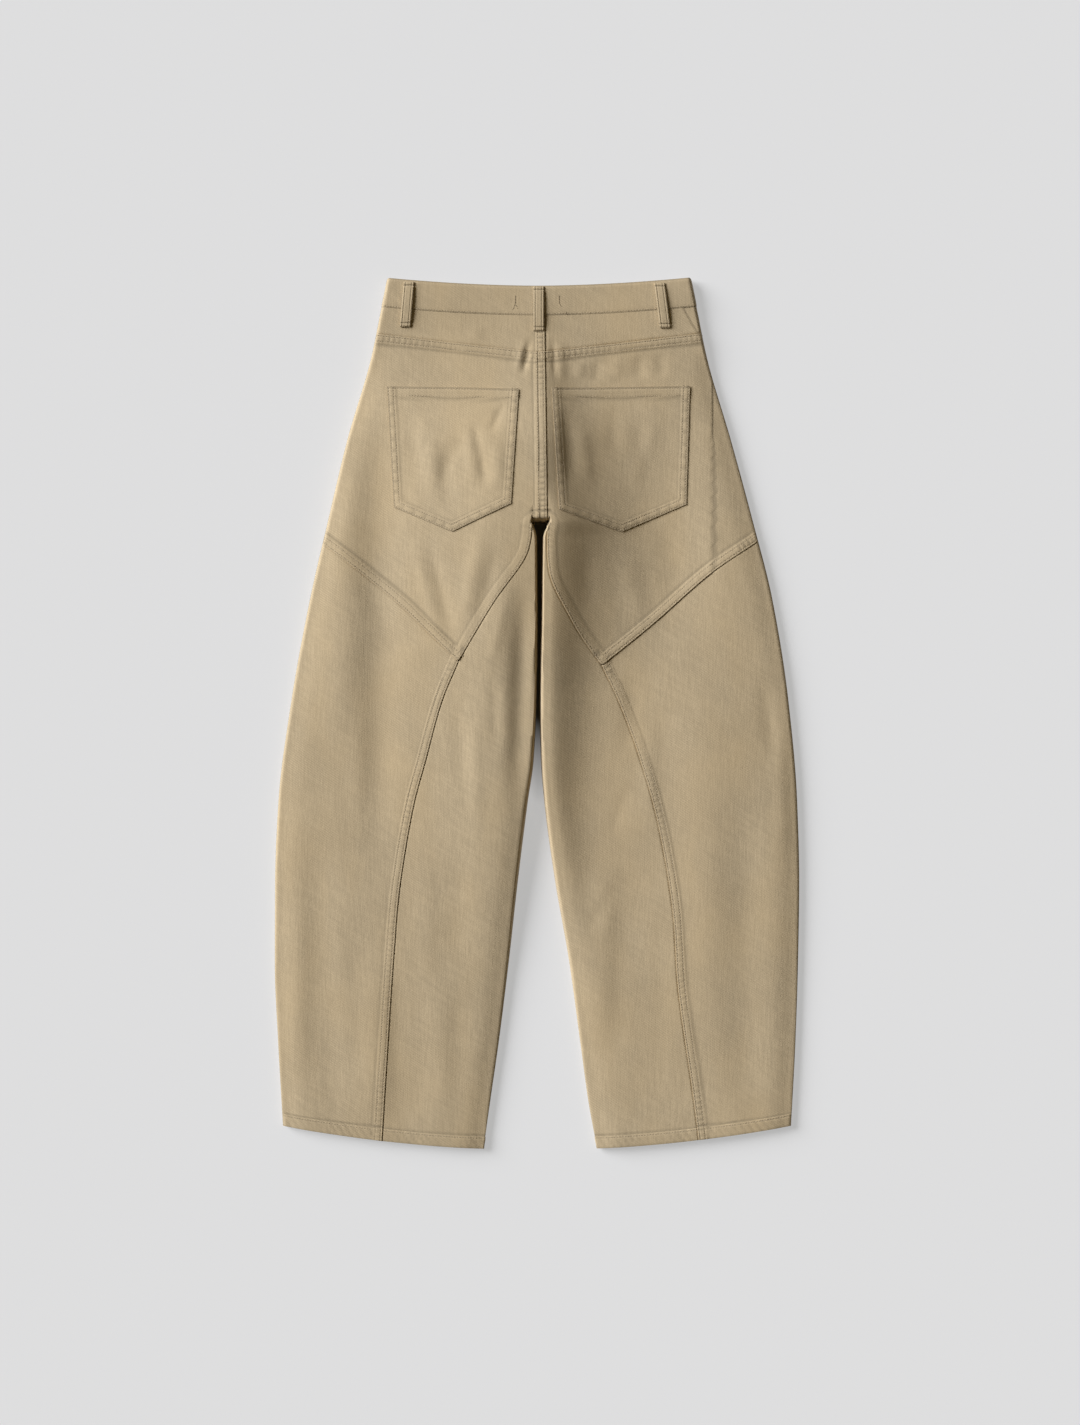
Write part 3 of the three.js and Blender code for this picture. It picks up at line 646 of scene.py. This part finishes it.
def twill(name, base):
    """Matte cotton twill: slanted weave, slubs, uneven dye and a soft nap, with shade painted into its
    dents.
    """
    material, shader = blank(name)
    shader.inputs["Roughness"].default_value = 0.94
    shader.inputs["Specular IOR Level"].default_value = 0.22
    shader.inputs["Sheen Weight"].default_value = 0.12
    shader.inputs["Sheen Roughness"].default_value = 0.6
    place = add(material, "TexCoord", {}).outputs["Object"]

    def mapped(turn, scale):
        turned = add(material, "Mapping", {"Vector": place, "Rotation": (0, 0, math.radians(turn))})
        scaled = add(material, "Mapping", {"Vector": turned.outputs["Vector"], "Scale": scale})
        return scaled.outputs["Vector"]

    def noise(vector, scale, detail=2):
        cloud = add(material, "TexNoise", {"Vector": vector, "Scale": scale, "Detail": detail})
        return cloud.outputs["Fac"]

    def mixed(*inputs):
        return blended(material, *inputs)

    def ramp(value, low, high, dark, light):
        ends = {"From Min": low, "From Max": high, "To Min": dark, "To Max": light}
        return add(material, "MapRange", {"Value": value, **ends}).outputs["Result"]

    streaks = noise(mapped(0, (1, 0.1, 1)), 420)
    slubs = noise(mapped(-57, (1, 0.12, 1)), 260)
    fine = noise(mapped(0, (1, 1, 1)), 620)
    dye = noise(mapped(0, (1, 0.5, 1)), 14, 4)
    patches = noise(mapped(0, (1, 1, 1)), 16)
    wales = add(material, "TexWave", {
        "Vector": mapped(33, (1, 1, 1)), "Scale": 131, "Distortion": 0.8, "Detail": 2, "Detail Scale": 0.6})
    wales.bands_direction = "Y"

    tone = mixed(shade(base, 0.93), shade(base, 1.07), ramp(streaks, 0.35, 0.65, 0, 1))
    tone = mixed(tone, shade(base, 1.14), ramp(slubs, 0.5, 0.75, 0, 0.5))
    tone = mixed(tone, shade(base, 0.86), ramp(slubs, 0.5, 0.25, 0, 0.5))
    tone = mixed(tone, shade(base, 0.84), ramp(fine, 0.5, 0.2, 0, 0.45))
    warm = (base[0] * 1.05, base[1], base[2] * 0.9)
    tone = mixed(tone, shade(warm, 1), ramp(dye, 0.4, 0.7, 0, 0.5))
    lines = mixed(tone, shade(base, 0.76), ramp(wales.outputs["Fac"], 0.6, 0.0, 0, 0.7))
    tone = mixed(tone, lines, ramp(patches, 0.42, 0.62, 0.25, 1))
    # Painted shade: darker where the cloth lies in a dent or groove, and along a pocket's edge
    painted_dent_shade = add(material, "Attribute", {})
    painted_dent_shade.attribute_name = "painted_dent_shade"
    tone = mixed(tone, shade(base, 0.42), ramp(painted_dent_shade.outputs["Fac"], 0.05, 1, 0, 0.7))
    material.node_tree.links.new(tone, shader.inputs["Base Color"])

    def bump(height, distance, strength, before=None):
        inputs = {"Height": height, "Distance": distance, "Strength": strength}
        if before:
            inputs["Normal"] = before
        return add(material, "Bump", inputs).outputs["Normal"]

    normal = bump(wales.outputs["Fac"], 0.0003, 0.35)
    normal = bump(streaks, 0.0004, 0.35, normal)
    normal = bump(slubs, 0.0004, 0.35, normal)
    normal = bump(fine, 0.0004, 0.45, normal)
    material.node_tree.links.new(normal, shader.inputs["Normal"])
    return material


def plain(name, base, roughness, metallic=0.0):
    """Thread, metal, or the painted shade in the stitch holes, with a little unevenness in its colour and
    surface.
    """
    material, shader = blank(name)
    shader.inputs["Roughness"].default_value = roughness
    shader.inputs["Metallic"].default_value = metallic
    place = add(material, "TexCoord", {}).outputs["Object"]
    noise = add(material, "TexNoise", {"Vector": place, "Scale": 900})
    tone = blended(material, shade(base, 0.85), shade(base, 1.12), noise.outputs["Fac"])
    material.node_tree.links.new(tone, shader.inputs["Base Color"])
    return material


TWILL = twill("khaki twill", (0.474, 0.380, 0.243))
THREAD_LOOK = plain("khaki thread", (0.50, 0.41, 0.28), 0.8)
TACK_LOOK = plain("brown tacking thread", (0.13, 0.10, 0.065), 0.9)
HOLE_SHADE_LOOK = plain("shade in the stitch holes", (0.16, 0.12, 0.07), 1.0)
METAL = plain("dull metal", (0.16, 0.13, 0.1), 0.4, 0.9)

# Lines that the panels meet at
CROSSING_Y = 240.6  # the seam across the two legs' tops, under the seat
SIDE_SEAM = np.array([(174, 486), (187, 463), (198, 445), (205, 428), (209.5, 410)], float)
curved_left_up, curved_right_up = spline(CURVED_LEFT_UP), spline(CURVED_RIGHT_UP)
curved_left_down, curved_right_down = spline(CURVED_LEFT_DOWN), spline(CURVED_RIGHT_DOWN)
diagonal_left, diagonal_right = spline(DIAGONAL_LEFT), spline(DIAGONAL_RIGHT)
diagonal_left[0, 0] = left_edge(diagonal_left[0, 1])
diagonal_right[0, 0] = right_edge(diagonal_right[0, 1])


def band_seam(x):
    return waist_y(x) - BAND_DEPTH


def corner(edge, line):
    """Point at which an outline meets a line across the garment."""
    y = float(line(0.0))
    for _ in range(20):
        y = float(line(float(edge(y))))
    return float(edge(y)), y


EDGES = (left_edge, right_edge)
waist_ends = [corner(edge, waist_y) for edge in EDGES]
band_ends = [corner(edge, band_seam) for edge in EDGES]
yoke_ends = [corner(edge, yoke_y) for edge in EDGES]
hem_ends = [corner(edge, hem_y) for edge in EDGES]
centre_low = along_y(centre_x, CROTCH_Y, YOKE_Y + 1)
centre_high = along_y(centre_x, YOKE_Y + 1, float(band_seam(CENTRE_TOP_X)))
yoke_left_line = along_x(yoke_y, yoke_ends[0][0], centre_low[-1][0])
yoke_right_line = along_x(yoke_y, centre_low[-1][0], yoke_ends[1][0])
band_left_line = along_x(band_seam, band_ends[0][0], centre_high[-1][0])
band_right_line = along_x(band_seam, centre_high[-1][0], band_ends[1][0])
hem_left = along_x(hem_y, hem_ends[0][0], float(gap_left(LEG_FOOT_Y)))
hem_right = along_x(hem_y, float(gap_right(LEG_FOOT_Y)), hem_ends[1][0])


def cut(line, x):
    """The line in two at the place where it passes x."""
    i = int(np.argmin(np.abs(line[:, 0] - x)))
    return line[: i + 1], line[i:]


def pinned(line, start=None, end=None):
    """The line with its first or last point moved."""
    line = np.array(line, float)
    if start is not None:
        line[0] = start
    if end is not None:
        line[-1] = end
    return line


def outline(edge, start, end):
    """An outer edge from one point up to another."""
    return pinned(along_y(edge, start[1], end[1]), start, end)


def panel(name, relief, bottom, top, left, right, across, up):
    """A panel of the back, on the front panel of its side."""
    grid = patch(bottom, top, left, right, across, up)
    cloth(name, grid, back_face, relief, CLOTH)


def centre_fell(x, y):
    return felled(x, y, centre_high, CENTRE_FELL, pucker=0.22)


def seat_left_relief(x, y):
    across = felled(x, y, centre_low, CENTRE_FELL, width=13, pucker=0.22)
    return seat_relief(x, y, diagonal_left, curved_left_up, yoke_left_line) + across


def seat_right_relief(x, y):
    beside_it = under_lap(x, y, centre_low) + side_seam(x, y)
    return seat_relief(x, y, diagonal_right, curved_right_up, yoke_right_line) + beside_it


def back_panels():
    """The eight panels of the back."""
    panel("yoke_left", lambda x, y: centre_fell(x, y) + under_lap(x, y, yoke_left_line),
          yoke_left_line, band_left_line, outline(left_edge, yoke_left_line[0], band_left_line[0]),
          pinned(centre_high, yoke_left_line[-1], band_left_line[-1]),
          shares(198, CELL, "roll", "seam"), shares(46, YOKE_CELL))
    panel("yoke_right", lambda x, y: under_lap(x, y, yoke_right_line) + under_lap(x, y, centre_high)
          + side_seam(x, y),
          yoke_right_line, band_right_line, pinned(centre_high, yoke_right_line[0], band_right_line[0]),
          outline(right_edge, yoke_right_line[-1], band_right_line[-1]),
          shares(188, CELL, None, "side"), shares(46, YOKE_CELL))
    # Seat panels lap over their neighbours
    middle = tuple(centre_low[0])
    foot = joined(diagonal_left, curved_left_up, [(CROTCH_LEFT_X, CROTCH_Y), middle])
    panel("seat_left", seat_left_relief,
          foot, yoke_left_line, outline(left_edge, foot[0], yoke_left_line[0]),
          pinned(centre_low, foot[-1], yoke_left_line[-1]),
          shares(285, CELL, "roll", "seam"), shares(300, CELL, "seam", "seam"))
    foot = joined([middle, (CROTCH_RIGHT_X, CROTCH_Y)], curved_right_up[::-1], diagonal_right[::-1])
    panel("seat_right", seat_right_relief,
          foot, yoke_right_line, pinned(centre_low, foot[0], yoke_right_line[0]),
          outline(right_edge, foot[-1], yoke_right_line[-1]),
          shares(280, CELL, "seam", "side"), shares(300, CELL, "seam", "seam"))
    # Outer leg panels lap over the inner ones
    outer, inner = cut(hem_left, CURVED_LEFT_DOWN[0][0])
    leg_panels("left", pinned(outer, end=curved_left_down[0]), pinned(inner, curved_left_down[0]))
    inner, outer = cut(hem_right, CURVED_RIGHT_DOWN[0][0])
    leg_panels("right", pinned(outer, curved_right_down[0]), pinned(inner, end=curved_right_down[0]))


def leg_panels(side, hem_outer, hem_inner):
    """The outer and the inner panel of a leg's back, whose hems run left to right."""
    is_left = side == "left"
    curved, above, diagonal = (
        (curved_left_down, curved_left_up, diagonal_left) if is_left
        else (curved_right_down, curved_right_up, diagonal_right))
    whole = joined(curved, above)
    corner_x = TIP_LEFT_X if is_left else TIP_RIGHT_X
    tip, end = (corner_x, INNER_TOP), tuple(whole[-1])
    gap = along_y(gap_left if is_left else gap_right, LEG_FOOT_Y, INNER_TOP)

    def outer_relief(x, y):
        return felled(x, y, curved, LEG_FELL) + under_lap(x, y, diagonal) + hem_relief(x, y)

    def inner_relief(x, y):
        return under_lap(x, y, whole) + hem_relief(x, y)

    up = shares(650, CELL, "hem", "seam")
    inner_up = shares(760, CELL, "hem")
    if is_left:
        side_line = outline(left_edge, hem_outer[0], diagonal[0])
        panel("outer_left", outer_relief, hem_outer, diagonal, side_line, curved,
              shares(160, CELL, "roll", "seam"), up)
        panel("inner_left", inner_relief, hem_inner, np.array([end, tip]), whole,
              pinned(gap, hem_inner[-1], tip), shares(105, CELL, "seam", "left"), inner_up)
    else:
        side_line = outline(right_edge, hem_outer[-1], diagonal[0])
        panel("outer_right", outer_relief, hem_outer, diagonal[::-1], curved, side_line,
              shares(160, CELL, "seam", "roll"), up)
        panel("inner_right", inner_relief, hem_inner, np.array([tip, end]),
              pinned(gap, hem_inner[0], tip), whole, shares(105, CELL, "right", "seam"), inner_up)


def seat_relief(x, y, diagonal, curved, yoke):
    """A seat panel's lapped edges, and the seam that crosses at the crotch."""
    total = felled(x, y, diagonal, SEAT_FELL) + 0.7 * felled(x, y, curved, CURVED_FELL, rows=(ROW_NEAR,))
    total = total + felled(x, y, yoke, SEAT_FELL, pucker=0.17)
    across = bell(y - CROSSING_Y, 0.8) * (1 - smooth((np.abs(x - 5) - 11) / 3))
    return total - 0.7 * across


def side_seam(x, y):
    """The front wraps round to the back at the top of the right side, under a seam."""
    distance, _ = nearness(x, y, SIDE_SEAM)
    beyond = x > np.interp(-y, -SIDE_SEAM[:, 1], SIDE_SEAM[:, 0])
    return -0.5 * beyond * smooth(distance / 1.2) - 0.5 * bell(distance, 0.9)


def pocket_relief(corners, x, y):
    """A pocket's cloth over the seat: turned edges, top hem and the seams under it."""
    edge = even([corners[i] for i in (0, 4, 3, 2, 1)])
    mouth = even(corners[:2])
    distance, along = nearness(x, y, edge)
    turned = 0.45 * (1 - smooth((distance - 8) / 3)) - 0.3 * bell(distance, 0.9)
    pucker = 0.12 * np.sin(along / 2.1 + np.sin(along / 17)) * bell(distance - 4, 5)
    rows = groove(distance, POCKET_NEAR) + groove(distance, POCKET_FAR)
    down, run = nearness(x, y, mouth)
    hem = 0.5 * (1 - smooth((down - MOUTH_FAR) / 2)) - groove(down, MOUTH_FAR) - groove(down, MOUTH_NEAR)
    gape = 0.9 * bell(down, 9) * np.sin(np.pi * run / run.max()) ** 2
    return POCKET_RISE + turned + pucker - rows + hem + gape


def pocket_edge_painted_shade(corners, x, y):
    """Painted shade: the dark line where a pocket's edge meets the seat and shades it."""
    distance, _ = nearness(x, y, even([corners[i] for i in (0, 4, 3, 2, 1, 0)]))
    return 0.9 * bell(distance, 0.8)


def pocket(name):
    corners = POCKETS[name]
    top_left, top_right, foot_right, point, foot_left = corners
    steps = shares(155, FINE_CELL, "pocket", "pocket"), shares(150, FINE_CELL, "pocket", "pocket")
    grid = patch(even([foot_left, point, foot_right]), even([top_left, top_right]),
                 even([foot_left, top_left]), even([foot_right, top_right]), *steps)
    cloth(f"pocket_{name}", grid, back_face, lambda x, y: pocket_relief(corners, x, y), CLOTH,
          lambda x, y: pocket_edge_painted_shade(corners, x, y), base=ABOVE)


def band_relief(x, y, top_at):
    """Waistband: rounded long edges, slight waves and a row of stitches near its lower edge."""
    down = top_at(x) - y
    up = BAND_DEPTH - down
    rounded = -0.9 * bell(down, 1.1) - 0.5 * bell(up, 0.8)
    wave = 0.22 * np.sin(x / 23 + 1.3 * np.sin(x / 61)) * np.sin(np.pi * down / BAND_DEPTH)
    return 0.5 + rounded + wave - groove(up, BAND_ROW) * 0.7


def band_piece(name, face, top_at, left, right, extra=0.0, cell=5, ends=("roll", "roll")):
    """A piece of waistband between two sides, each given by its x at the foot and at the top."""
    (foot_left, top_left), (foot_right, top_right) = left, right
    top = along_x(top_at, top_left, top_right)
    bottom = along_x(lambda x: top_at(x) - BAND_DEPTH + SEAM, foot_left, foot_right)
    grid = patch(bottom, top, even([bottom[0], top[0]]), even([bottom[-1], top[-1]]),
                 shares(top_right - top_left, cell, *ends), shares(BAND_DEPTH, 2.4))
    cloth(name, grid, face, lambda x, y: band_relief(x, y, top_at) - extra,
          BAND_CLOTH, base=ABOVE)


def waistband():
    left, right = [(foot[0], top[0]) for foot, top in zip(band_ends, waist_ends)]
    lap, tab = FRONT_SEAM_X + UNDERLAP / 2, FRONT_SEAM_X - UNDERLAP / 2
    band_piece("waistband_back", back_face, waist_y, left, right,
               cell=FINE_CELL)
    band_piece("waistband_front_left", front_face, front_waist_y, left, (lap, lap),
               ends=("roll", None))
    band_piece("waistband_front_right", front_face, front_waist_y, (lap + SEAM, lap + SEAM), right,
               ends=(None, "roll"))
    # The inner end lies behind the left one
    band_piece("waistband_underlap", front_face, front_waist_y, (tab, tab), (lap, lap),
               extra=2.7, ends=(None, None))


def front_band_seam(x):
    return front_waist_y(x) - BAND_DEPTH - SEAM


def front_panels():
    """The two front panels, which the back hides."""
    parts = {
        "left": (-1, left_edge, gap_left, hem_left, band_ends[0]),
        "right": (1, right_edge, gap_right, hem_right[::-1], band_ends[1]),
    }
    for name, (side, edge, gap, hem, (side_x, side_y)) in parts.items():
        seam_x = FRONT_SEAM_X + side * SEAM / 2
        top = along_x(front_band_seam, side_x, seam_x)
        inner = joined(along_y(gap, LEG_FOOT_Y, CROTCH_Y), [(seam_x, CROTCH_Y), tuple(top[-1])])
        across = shares(240, HIDDEN_CELL, "roll", name)
        x, y = patch(hem, top, pinned(along_y(edge, hem[0][1], side_y), hem[0], top[0]),
                     pinned(inner, hem[-1]), across, shares(1000, HIDDEN_CELL))
        if side > 0:
            x, y = x[:, ::-1], y[:, ::-1]
        cloth(f"front_{name}", (x, y), front_face, lambda x, y: 0 * x, CLOTH)


def loops():
    """Belt loops: folded strips over the waistband, open in the middle and tacked at both ends."""
    for name, (x0, y0, x1, y1) in {**LOOPS, **FRONT_LOOPS}.items():
        up = np.linspace(0, 1, 64)
        across = np.linspace(-0.5, 0.5, 27)
        y = lerp(y1, y0, up)[:, None] + 0 * across[None]
        x = lerp(x1, x0, up)[:, None] + across[None] * LOOP_WIDTH
        edge = (0.5 - np.abs(across)) * LOOP_WIDTH
        ends = np.minimum(up, 1 - up) * (y0 - y1)
        rounded = -0.5 * bell(edge, 0.7) - 0.4 * bell(edge - 2.6, 0.55)
        tuck = -0.7 * bell(ends - 4.2, 0.8) - 0.5 * bell(ends, 0.8)
        sewn = rounded[None] + tuck[:, None]
        if name in LOOPS:
            bow = LOOP_BOW * np.sin(np.pi * up) ** 0.8
            face, thick, under = back_face, LOOP_CLOTH, "cloth_waistband_back"
            relief = LOOP_BASE + LOOP_CLOTH + bow[:, None] + sewn
        else:
            face, thick, under = front_face, FRONT_LOOP_CLOTH, "surface"
            relief = FRONT_LOOP_RISE + 0.4 * sewn
        cloth(f"loop_{name}", (x, y), face, lambda x, y, height=relief: height, thick, base=ABOVE)


# Stitches

def tube_faces(count, sides):
    """Quads of a tube through even rings of points, closed at both ends."""
    quads = []
    for r in range(count - 1):
        for k in range(sides):
            n = (k + 1) % sides
            quads.append([r * sides + k, r * sides + n, (r + 1) * sides + n, (r + 1) * sides + k])
    cap = [[k, k + 1, sides - 2 - k, sides - 1 - k] for k in range(sides // 2 - 1)]
    quads += [face[::-1] for face in cap]
    quads += [[k + (count - 1) * sides for k in face] for face in cap]
    return np.array(quads)


def capsule(sides=6):
    """Unit stitch along x, of four rings that narrow and sink at its ends."""
    angle = np.linspace(0, 2 * np.pi, sides, endpoint=False)
    rings = []
    for at, wide, rise in ((-0.42, 0.55, 0.0), (-0.2, 1.0, 0.35), (0.2, 1.0, 0.35), (0.42, 0.55, 0.0)):
        rings.append(np.stack([np.full(sides, at), wide * np.cos(angle), wide * np.sin(angle) + rise], -1))
    return np.vstack(rings), tube_faces(len(rings), sides)


# A box between four points above and the four below them
BOX = np.array([[3, 2, 1, 0], [4, 5, 6, 7], [0, 1, 5, 4], [1, 2, 6, 5], [2, 3, 7, 6], [3, 0, 4, 7]])


def stitches(name, rows, relief_of, look=THREAD_LOOK):
    """Rows of single stitches along lines, and dark boxes between them that paint the shade in the stitch
    holes, as two meshes.
    """
    form, quads = capsule()
    thread, thread_quads, hole_shade_boxes, hole_quads = [], [], [], []
    for line in rows:
        lengths = arc(line)
        count = max(1, int(lengths[-1] / (STITCH + STITCH_GAP)))

        def seat(shares_along):
            at = np.stack([np.interp(shares_along, lengths, line[:, k]) for k in range(2)], -1)
            return on_cloth(at, relief_of)

        middle = (np.arange(count) + 0.5) * lengths[-1] / count
        way = unit(seat(middle + 0.4) - seat(middle - 0.4))
        side = unit(np.cross(np.array([0, 0, 1.0]), way))
        up = np.cross(way, side)
        frames = zip(seat(middle), seat(middle + 0.5 * lengths[-1] / count), way, side, up)
        for centre, hole, w, s, u in frames:
            local = form[:, :1] * STITCH * w + form[:, 1:2] * THREAD * s + form[:, 2:3] * THREAD * u
            thread_quads.append(quads + len(thread) * len(form))
            thread.append(centre + local)
            corners = np.array([w + s, w - s, -w - s, s - w]) * HOLE + hole
            hole_quads.append(BOX + 8 * len(hole_shade_boxes))
            hole_shade_boxes.append(np.vstack([corners + u * HOLE_RISE, corners - u * HOLE_DEPTH]))
    dressed(raw_mesh(name, np.vstack(thread) * MM, np.vstack(thread_quads)), look)
    # The holes are dark boxes, painted shade
    dressed(raw_mesh(name + "_holes", np.vstack(hole_shade_boxes) * MM, np.vstack(hole_quads)), HOLE_SHADE_LOOK)


def on_cloth(at, relief_of):
    points, ways = back_face(at[:, 0], at[:, 1])
    return points + ways * (relief_of(at[:, 0], at[:, 1])[:, None] + 0.02)


def sew():
    """All the topstitching that shows."""
    def rows(line, way):
        return [beside(line, way * ROW_NEAR), beside(line, way * ROW_FAR)]

    centre_rows = [beside(centre_low, ROW_NEAR), beside(centre_low, ROW_FAR + 1.5)]
    stitches("stitches_seat_left", rows(diagonal_left, 1) + rows(yoke_left_line, -1) + centre_rows
             + [beside(curved_left_up, ROW_NEAR)], seat_left_relief)
    stitches("stitches_seat_right", rows(diagonal_right, -1) + rows(yoke_right_line, -1)
             + [beside(curved_right_up, -ROW_NEAR)], seat_right_relief)
    stitches("stitches_yoke", rows(centre_high, 1), centre_fell)
    for name, line, way in (("left", curved_left_down, 1), ("right", curved_right_down, -1)):
        stitches(f"stitches_leg_{name}", rows(line, way),
                 lambda x, y, line=line: felled(x, y, line, LEG_FELL))
    stitches("stitches_hems", [hem_left[2:-2] + [0, HEM_ROW], hem_right[2:-2] + [0, HEM_ROW]], hem_relief)
    for name, corners in POCKETS.items():
        mouth = even(corners[:2], 2.0)
        stitches(f"stitches_pocket_{name}", [
            inset(corners, POCKET_NEAR), inset(corners, POCKET_FAR),
            beside(mouth, -MOUTH_NEAR)[2:-2], beside(mouth, -MOUTH_FAR)[4:-4]],
            lambda x, y, corners=corners: pocket_relief(corners, x, y))
    band_row = along_x(lambda x: band_seam(x) + ROW_NEAR, *BAND_ROW_ENDS)
    stitches("stitches_waistband", [band_row], back_band_relief)
    stitches("stitches_tacks", [even(line, 1.0) for line in TACKS], back_band_relief, TACK_LOOK)


def back_band_relief(x, y):
    return band_relief(x, y, waist_y)


def inset(corners, off):
    """Path inside a pocket's sides and foot."""
    ring = [np.array(corners[i], float) for i in (0, 4, 3, 2, 1)]
    lines = []
    for a, b in zip(ring, ring[1:]):
        way = (b - a) / np.linalg.norm(b - a)
        shift = off * np.array([-way[1], way[0]])
        lines.append((a + shift, way, b + shift))
    path = [lines[0][0]]
    for (a, u, _), (c, v, _) in zip(lines, lines[1:]):
        t = np.linalg.solve(np.stack([u, -v], 1), c - a)[0]
        path.append(a + u * t)
    path.append(lines[-1][2])
    return even(path, 2.0)


def button():
    """Metal button with a rim and a domed middle, under the front band."""
    low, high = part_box("button")
    centre = (low + high) / 2
    radius, thick = (high.x - low.x) / 2, high.z - low.z
    profile = [(0.0, 0.25), (0.5, 0.25), (0.72, 0.12), (0.82, 0.0), (0.94, 0.08), (1.0, 0.35),
               (1.0, 0.85), (0.93, 1.0), (0.0, 1.0)]
    sides = 40
    angle = np.linspace(0, 2 * np.pi, sides, endpoint=False)
    points = []
    for reach, height in profile:
        away = radius * max(reach, 0.02)
        for a in angle:
            x, y = centre.x + away * math.cos(a), centre.y + away * math.sin(a)
            points.append([x, y, low.z + thick * height])
    piece = raw_mesh("metal_button", np.array(points), tube_faces(len(profile), sides))
    dressed(piece, METAL, ["button"])


back_panels()
for pocket_name in POCKETS:
    pocket(pocket_name)
waistband()
front_panels()
loops()
sew()
button()

# Stage, light and camera
KEY, KEY_SPREAD, KEY_BEARING, KEY_RISE = 5.75, 38, 153, 26
KEY_COLOUR = (0.995, 1.0, 1.035)
FILL, FILL_COLOUR = 0.11, (1.0, 0.8, 0.42, 1)  # light from the cloth and walls around is warm
FLOOR_SIZE, FLOOR_DROP = 30.0, 0.0003
FLOOR_SHADE, FLOOR_GLOW, FLOOR_COLOUR = 0.33, 0.435, (0.99, 1.002, 1.022, 1)
GAP_SHADE_SIZE, GAP_SHADE_AT = (0.034, 0.23), (0.003, 0.12)  # half sizes and middle of the floor patch without glow, painted shade in the gap between the legs
WALL_AWAY, WALL_HEIGHT, WALL_GLOW, WALL_SIDES = 25.0, 20.0, 0.735, 64
PHOTO_HEIGHT, PHOTO_PIXEL = 1425, 1.2  # pixels, and millimetres to each
CAMERA_AT = (0.0036, 0.0012)


def scenery(name, points, quads, look):
    """A mesh around the garment, without gloss."""
    mesh = bpy.data.meshes.new(name)
    mesh.from_pydata(points, [], quads)
    piece = bpy.data.objects.new(name, mesh)
    bpy.context.scene.collection.objects.link(piece)
    material, shader = blank(look)
    shader.inputs["Roughness"].default_value = 1.0
    shader.inputs["Specular IOR Level"].default_value = 0.0
    mesh.materials.append(material)
    return piece, material, shader


def floor():
    size = FLOOR_SIZE
    corners = [(-size, -size, 0), (size, -size, 0), (size, size, 0), (-size, size, 0)]
    plane, material, shader = scenery("surface", corners, [(0, 1, 2, 3)], "pale surface")
    plane.location.z = -FLOOR_DROP
    shader.inputs["Base Color"].default_value = (FLOOR_SHADE, FLOOR_SHADE, FLOOR_SHADE, 1)
    shader.inputs["Emission Color"].default_value = FLOOR_COLOUR
    # Painted shade: the glow stops in the narrow gap between the legs, so the floor there is dark
    place = add(material, "TexCoord", {}).outputs["Object"]
    gap_shade_place = add(material, "Mapping", {
        "Vector": place, "Location": (-GAP_SHADE_AT[0] / GAP_SHADE_SIZE[0], -GAP_SHADE_AT[1] / GAP_SHADE_SIZE[1], 0),
        "Scale": (1 / GAP_SHADE_SIZE[0], 1 / GAP_SHADE_SIZE[1], 1)})
    gap_shade_mask = add(material, "TexGradient", {"Vector": gap_shade_place.outputs["Vector"]})
    gap_shade_mask.gradient_type = "SPHERICAL"
    glow = add(material, "MapRange", {
        "Value": gap_shade_mask.outputs["Fac"], "From Max": 0.45, "To Min": FLOOR_GLOW, "To Max": 0.0})
    material.node_tree.links.new(glow.outputs["Result"], shader.inputs["Emission Strength"])


def backdrop():
    """Pale wall far off all round, which gives no light and is seen only in low views."""
    here = np.arange(WALL_SIDES)
    after = np.roll(here, -1)
    angle = here * 2 * np.pi / WALL_SIDES
    ring = np.stack([WALL_AWAY * np.cos(angle), WALL_AWAY * np.sin(angle), 0 * angle], -1)
    points = np.vstack([ring, ring + [0, 0, WALL_HEIGHT]])
    quads = np.stack([after, here, here + WALL_SIDES, after + WALL_SIDES], -1)
    wall, _, shader = scenery("backdrop", points.tolist(), quads.tolist(), "pale wall")
    shader.inputs["Base Color"].default_value = (0, 0, 0, 1)
    shader.inputs["Emission Color"].default_value = (1, 1, 1, 1)
    shader.inputs["Emission Strength"].default_value = WALL_GLOW
    wall.visible_diffuse = False
    wall.visible_glossy = False
    wall.visible_transmission = False
    wall.visible_shadow = False


def light():
    """Low soft light from the upper left, and an even fill."""
    sun = bpy.data.lights.new("key", "SUN")
    sun.energy = KEY
    sun.color = KEY_COLOUR
    sun.angle = math.radians(KEY_SPREAD)
    lamp = bpy.data.objects.new("key", sun)
    bearing, rise = math.radians(KEY_BEARING), math.radians(KEY_RISE)
    level = math.cos(rise)
    toward = Vector((level * math.cos(bearing), level * math.sin(bearing), math.sin(rise)))
    lamp.rotation_mode = "QUATERNION"
    lamp.rotation_quaternion = toward.to_track_quat("Z", "Y")
    bpy.context.scene.collection.objects.link(lamp)
    world = bpy.data.worlds.new("fill")
    world.use_nodes = True
    background = world.node_tree.nodes["Background"]
    background.inputs["Color"].default_value = FILL_COLOUR
    background.inputs["Strength"].default_value = FILL
    bpy.context.scene.world = world


def camera():
    """Straight down, with the frame of the photograph."""
    data = bpy.data.cameras.new("camera")
    data.lens = 70
    data.sensor_width = 36
    frame_height = PHOTO_HEIGHT * PHOTO_PIXEL * MM
    distance = frame_height / 2 / (data.sensor_width / 2 / data.lens)
    eye = bpy.data.objects.new("camera", data)
    eye.location = (*CAMERA_AT, distance)
    bpy.context.scene.collection.objects.link(eye)
    bpy.context.scene.camera = eye


floor()
backdrop()
light()
camera()
view = bpy.context.scene.view_settings
view.view_transform = "Standard"
view.look = "None"
